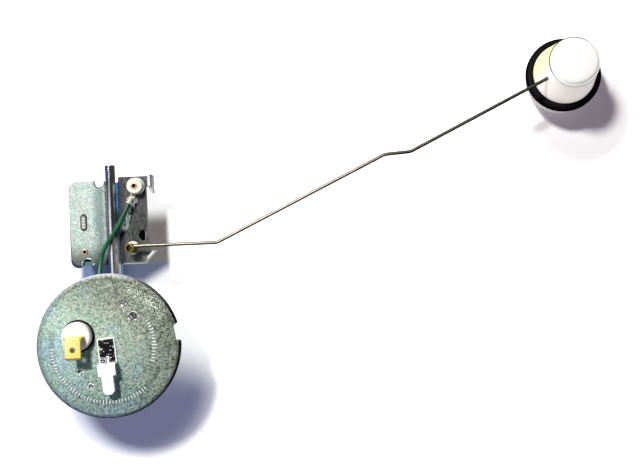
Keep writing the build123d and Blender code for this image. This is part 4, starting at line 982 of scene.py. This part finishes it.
def bent_wire(name, route, bends, radius, round_steps=10, bend_steps=14):
    """A round wire of straight runs joined by arcs of the given radii."""
    spans = []
    for before, here, after, bend in zip(route, route[1:], route[2:], bends):
        arriving = (here - before).normalized()
        leaving = (after - here).normalized()
        turn = arriving.angle(leaving)
        reach = bend * math.tan(turn / 2)
        handle = 4 / 3 * bend * math.tan(turn / 4)
        spans.append((here - arriving * reach, arriving * handle))
        spans.append((here + leaving * reach, leaving * handle))
    points = [(route[0], (route[1] - route[0]) / 4), *spans, (route[-1], (route[-1] - route[-2]) / 4)]
    curve = bpy.data.curves.new(name, "CURVE")
    curve.dimensions = "3D"
    curve.bevel_depth = radius
    curve.bevel_resolution = round_steps
    curve.resolution_u = bend_steps
    curve.use_fill_caps = True
    spline = curve.splines.new("BEZIER")
    spline.bezier_points.add(len(points) - 1)
    for knot, (place, handle) in zip(spline.bezier_points, points):
        knot.co = place
        knot.handle_left = place - handle
        knot.handle_right = place + handle
    wire = bpy.data.objects.new(name, curve)
    bpy.context.scene.collection.objects.link(wire)
    deselect()
    wire.select_set(True)
    bpy.context.view_layer.objects.active = wire
    bpy.ops.object.convert(target="MESH")
    wire = bpy.context.object
    with editing(wire):
        bpy.ops.mesh.select_all(action="SELECT")
        bpy.ops.mesh.remove_doubles(threshold=0.001 * mm)
        bpy.ops.mesh.normals_make_consistent(inside=False)
    return wire


def make_float_arm():
    """Arm wire, with the bends of the real one."""
    wire = bent_wire("arm_wire", wire_route, wire_bends, wire_radius)
    finish_piece(wire, "arm_wire", "arm", "spring_wire", angle=40)
    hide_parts("float_arm")


def spun_ring(name, centre, axis, profile, steps=96):
    """A ring spun round an axis, from a closed profile of points that are each a radius and a height."""
    mesh = bpy.data.meshes.new(name)
    shape = bmesh.new()
    corners = [shape.verts.new((radius, 0, height)) for radius, height in profile]
    edges = [shape.edges.new(pair) for pair in zip(corners, corners[1:] + corners[:1])]
    bmesh.ops.spin(
        shape,
        geom=corners + edges,
        cent=(0, 0, 0),
        axis=(0, 0, 1),
        angle=math.tau,
        steps=steps,
        use_duplicate=False,
    )
    bmesh.ops.remove_doubles(shape, verts=shape.verts, dist=0.0005 * mm)
    bmesh.ops.recalc_face_normals(shape, faces=shape.faces)
    turn = Vector(axis).to_track_quat("Z", "Y").to_matrix().to_4x4()
    bmesh.ops.transform(shape, matrix=Matrix.Translation(centre) @ turn, verts=shape.verts)
    shape.to_mesh(mesh)
    shape.free()
    ring = bpy.data.objects.new(name, mesh)
    bpy.context.scene.collection.objects.link(ring)
    return ring


def make_dome_edge_shade():
    """A fine ring round the edge of the float's dome, which carries a line of painted shade."""
    thickness = 0.26 * mm
    corners = 12
    section = [
        (dome_radius + thickness * math.cos(turn), thickness * math.sin(turn))
        for turn in (math.tau * corner / corners for corner in range(corners))
    ]
    shade_ring = spun_ring("dome_edge_shade", dome_centre, dome_axis, section)
    finish_piece(shade_ring, "dome_edge_shade", "arm", "float_shell", angle=80)
    shade_ring.data.materials[0] = dome_edge_shade_finish().material


def dome_edge_shade_finish():
    """Painted shade: dark at the upper left of the dome, and as white as the dome on its other side."""
    finish = Finish("float_shell_edge_shade")
    x, y = finish.axes()[:2]
    upper_left = ((y - dome_centre.y) * 0.75 - (x - dome_centre.x) * 0.65).rise(-2 * mm, 6 * mm)
    cloud = finish.noise(2 * mm)
    finish.set("Base Color", finish.mix(upper_left, (0.96, 0.95, 0.92), (0.07, 0.06, 0.05)))
    finish.set("Roughness", 0.45 + cloud.swing(0.2))
    return finish


def make_tick():
    """One raised mark, lying along X, with bevelled edges."""
    length, width, height = 1.5 * mm, 0.46 * mm, 0.36 * mm
    bpy.ops.mesh.primitive_cube_add(size=1, location=(0, 0, 0))
    tick = bpy.context.object
    with editing(tick):
        bpy.ops.transform.resize(value=(length, width, height))
        pick(tick, "EDGE", lambda edge: edge.verts[0].co.z + edge.verts[1].co.z > 0)
        bpy.ops.mesh.bevel(offset=0.1 * mm, segments=2)
    return tick


def make_stamped_ticks():
    """Plain stamped marks round two arcs of the disc, with each fifth one longer."""
    outer_arc = (outer_tick_radius, 181, 311, 3.3)          # radius, and in degrees its ends and pitch
    inner_arc = (inner_tick_radius, -20, 29, 3.9)
    master = make_tick()
    copies = []
    for radius, start, end, pitch in (outer_arc, inner_arc):
        for index in range(round((end - start) / pitch) + 1):
            longer = 1.35 if index % 5 == 0 else 1.0
            stretch = Matrix.Diagonal((longer, 1, 1, 1))
            shift = Matrix.Translation((radius, 0, 0))
            turn = Matrix.Rotation(math.radians(start + index * pitch), 4, "Z")
            copy = master.copy()
            copy.data = master.data.copy()
            copy.data.transform(Matrix.Translation((0, 0, face_z)) @ turn @ shift @ stretch)
            bpy.context.scene.collection.objects.link(copy)
            copies.append(copy)
    bpy.data.objects.remove(master)
    deselect()
    for copy in copies:
        copy.select_set(True)
    bpy.context.view_layer.objects.active = copies[0]
    bpy.ops.object.join()
    finish_piece(bpy.context.object, "stamped_ticks", "root", "zinc_flange", angle=30)


def make_weld_mark(number, point, radius):
    """A lumpy ring of metal that the welding threw up round its crater."""
    thickness = 0.3 * mm
    sunk = 0.06 * mm
    lump_size = 0.9 * mm
    lump_reach = 0.35 * mm
    bpy.ops.mesh.primitive_torus_add(
        major_segments=72,
        minor_segments=14,
        major_radius=radius,
        minor_radius=thickness,
        location=(point.x, point.y, face_z - sunk),
    )
    ring = bpy.context.object
    for vertex in ring.data.vertices:
        place = Vector((vertex.co.x, vertex.co.y, 0)) / lump_size + Vector((number * 7.3, 1.7, 0))
        lump = noise.noise(place)
        side = vertex.co.normalized()
        vertex.co.z *= 0.55 + 0.75 * lump
        vertex.co += side * lump * lump_reach
    finish_piece(ring, f"weld_mark_{number}", "root", "zinc_flange", angle=60)


make_camera()
make_key_lamp()
make_world()
make_floor()

make_support_rod()
make_float_arm()
make_stamped_ticks()
make_dome_edge_shade()
for number, (point, radius) in enumerate(zip(weld_points, weld_ring_radii), start=1):
    make_weld_mark(number, point, radius)
softened("terminal_blade", "gauge_blade", width=0.09 * mm)
softened("earth_terminal", "earth_blade", width=0.09 * mm)
softened("housing_plate", "folded_plate", width=0.25 * mm, steps=3)
softened("housing_cover", "drawn_cover", width=0.1 * mm)
softened("rod_bracket", "bracket", width=0.14 * mm)

bpy.context.scene.view_settings.view_transform = "Standard"
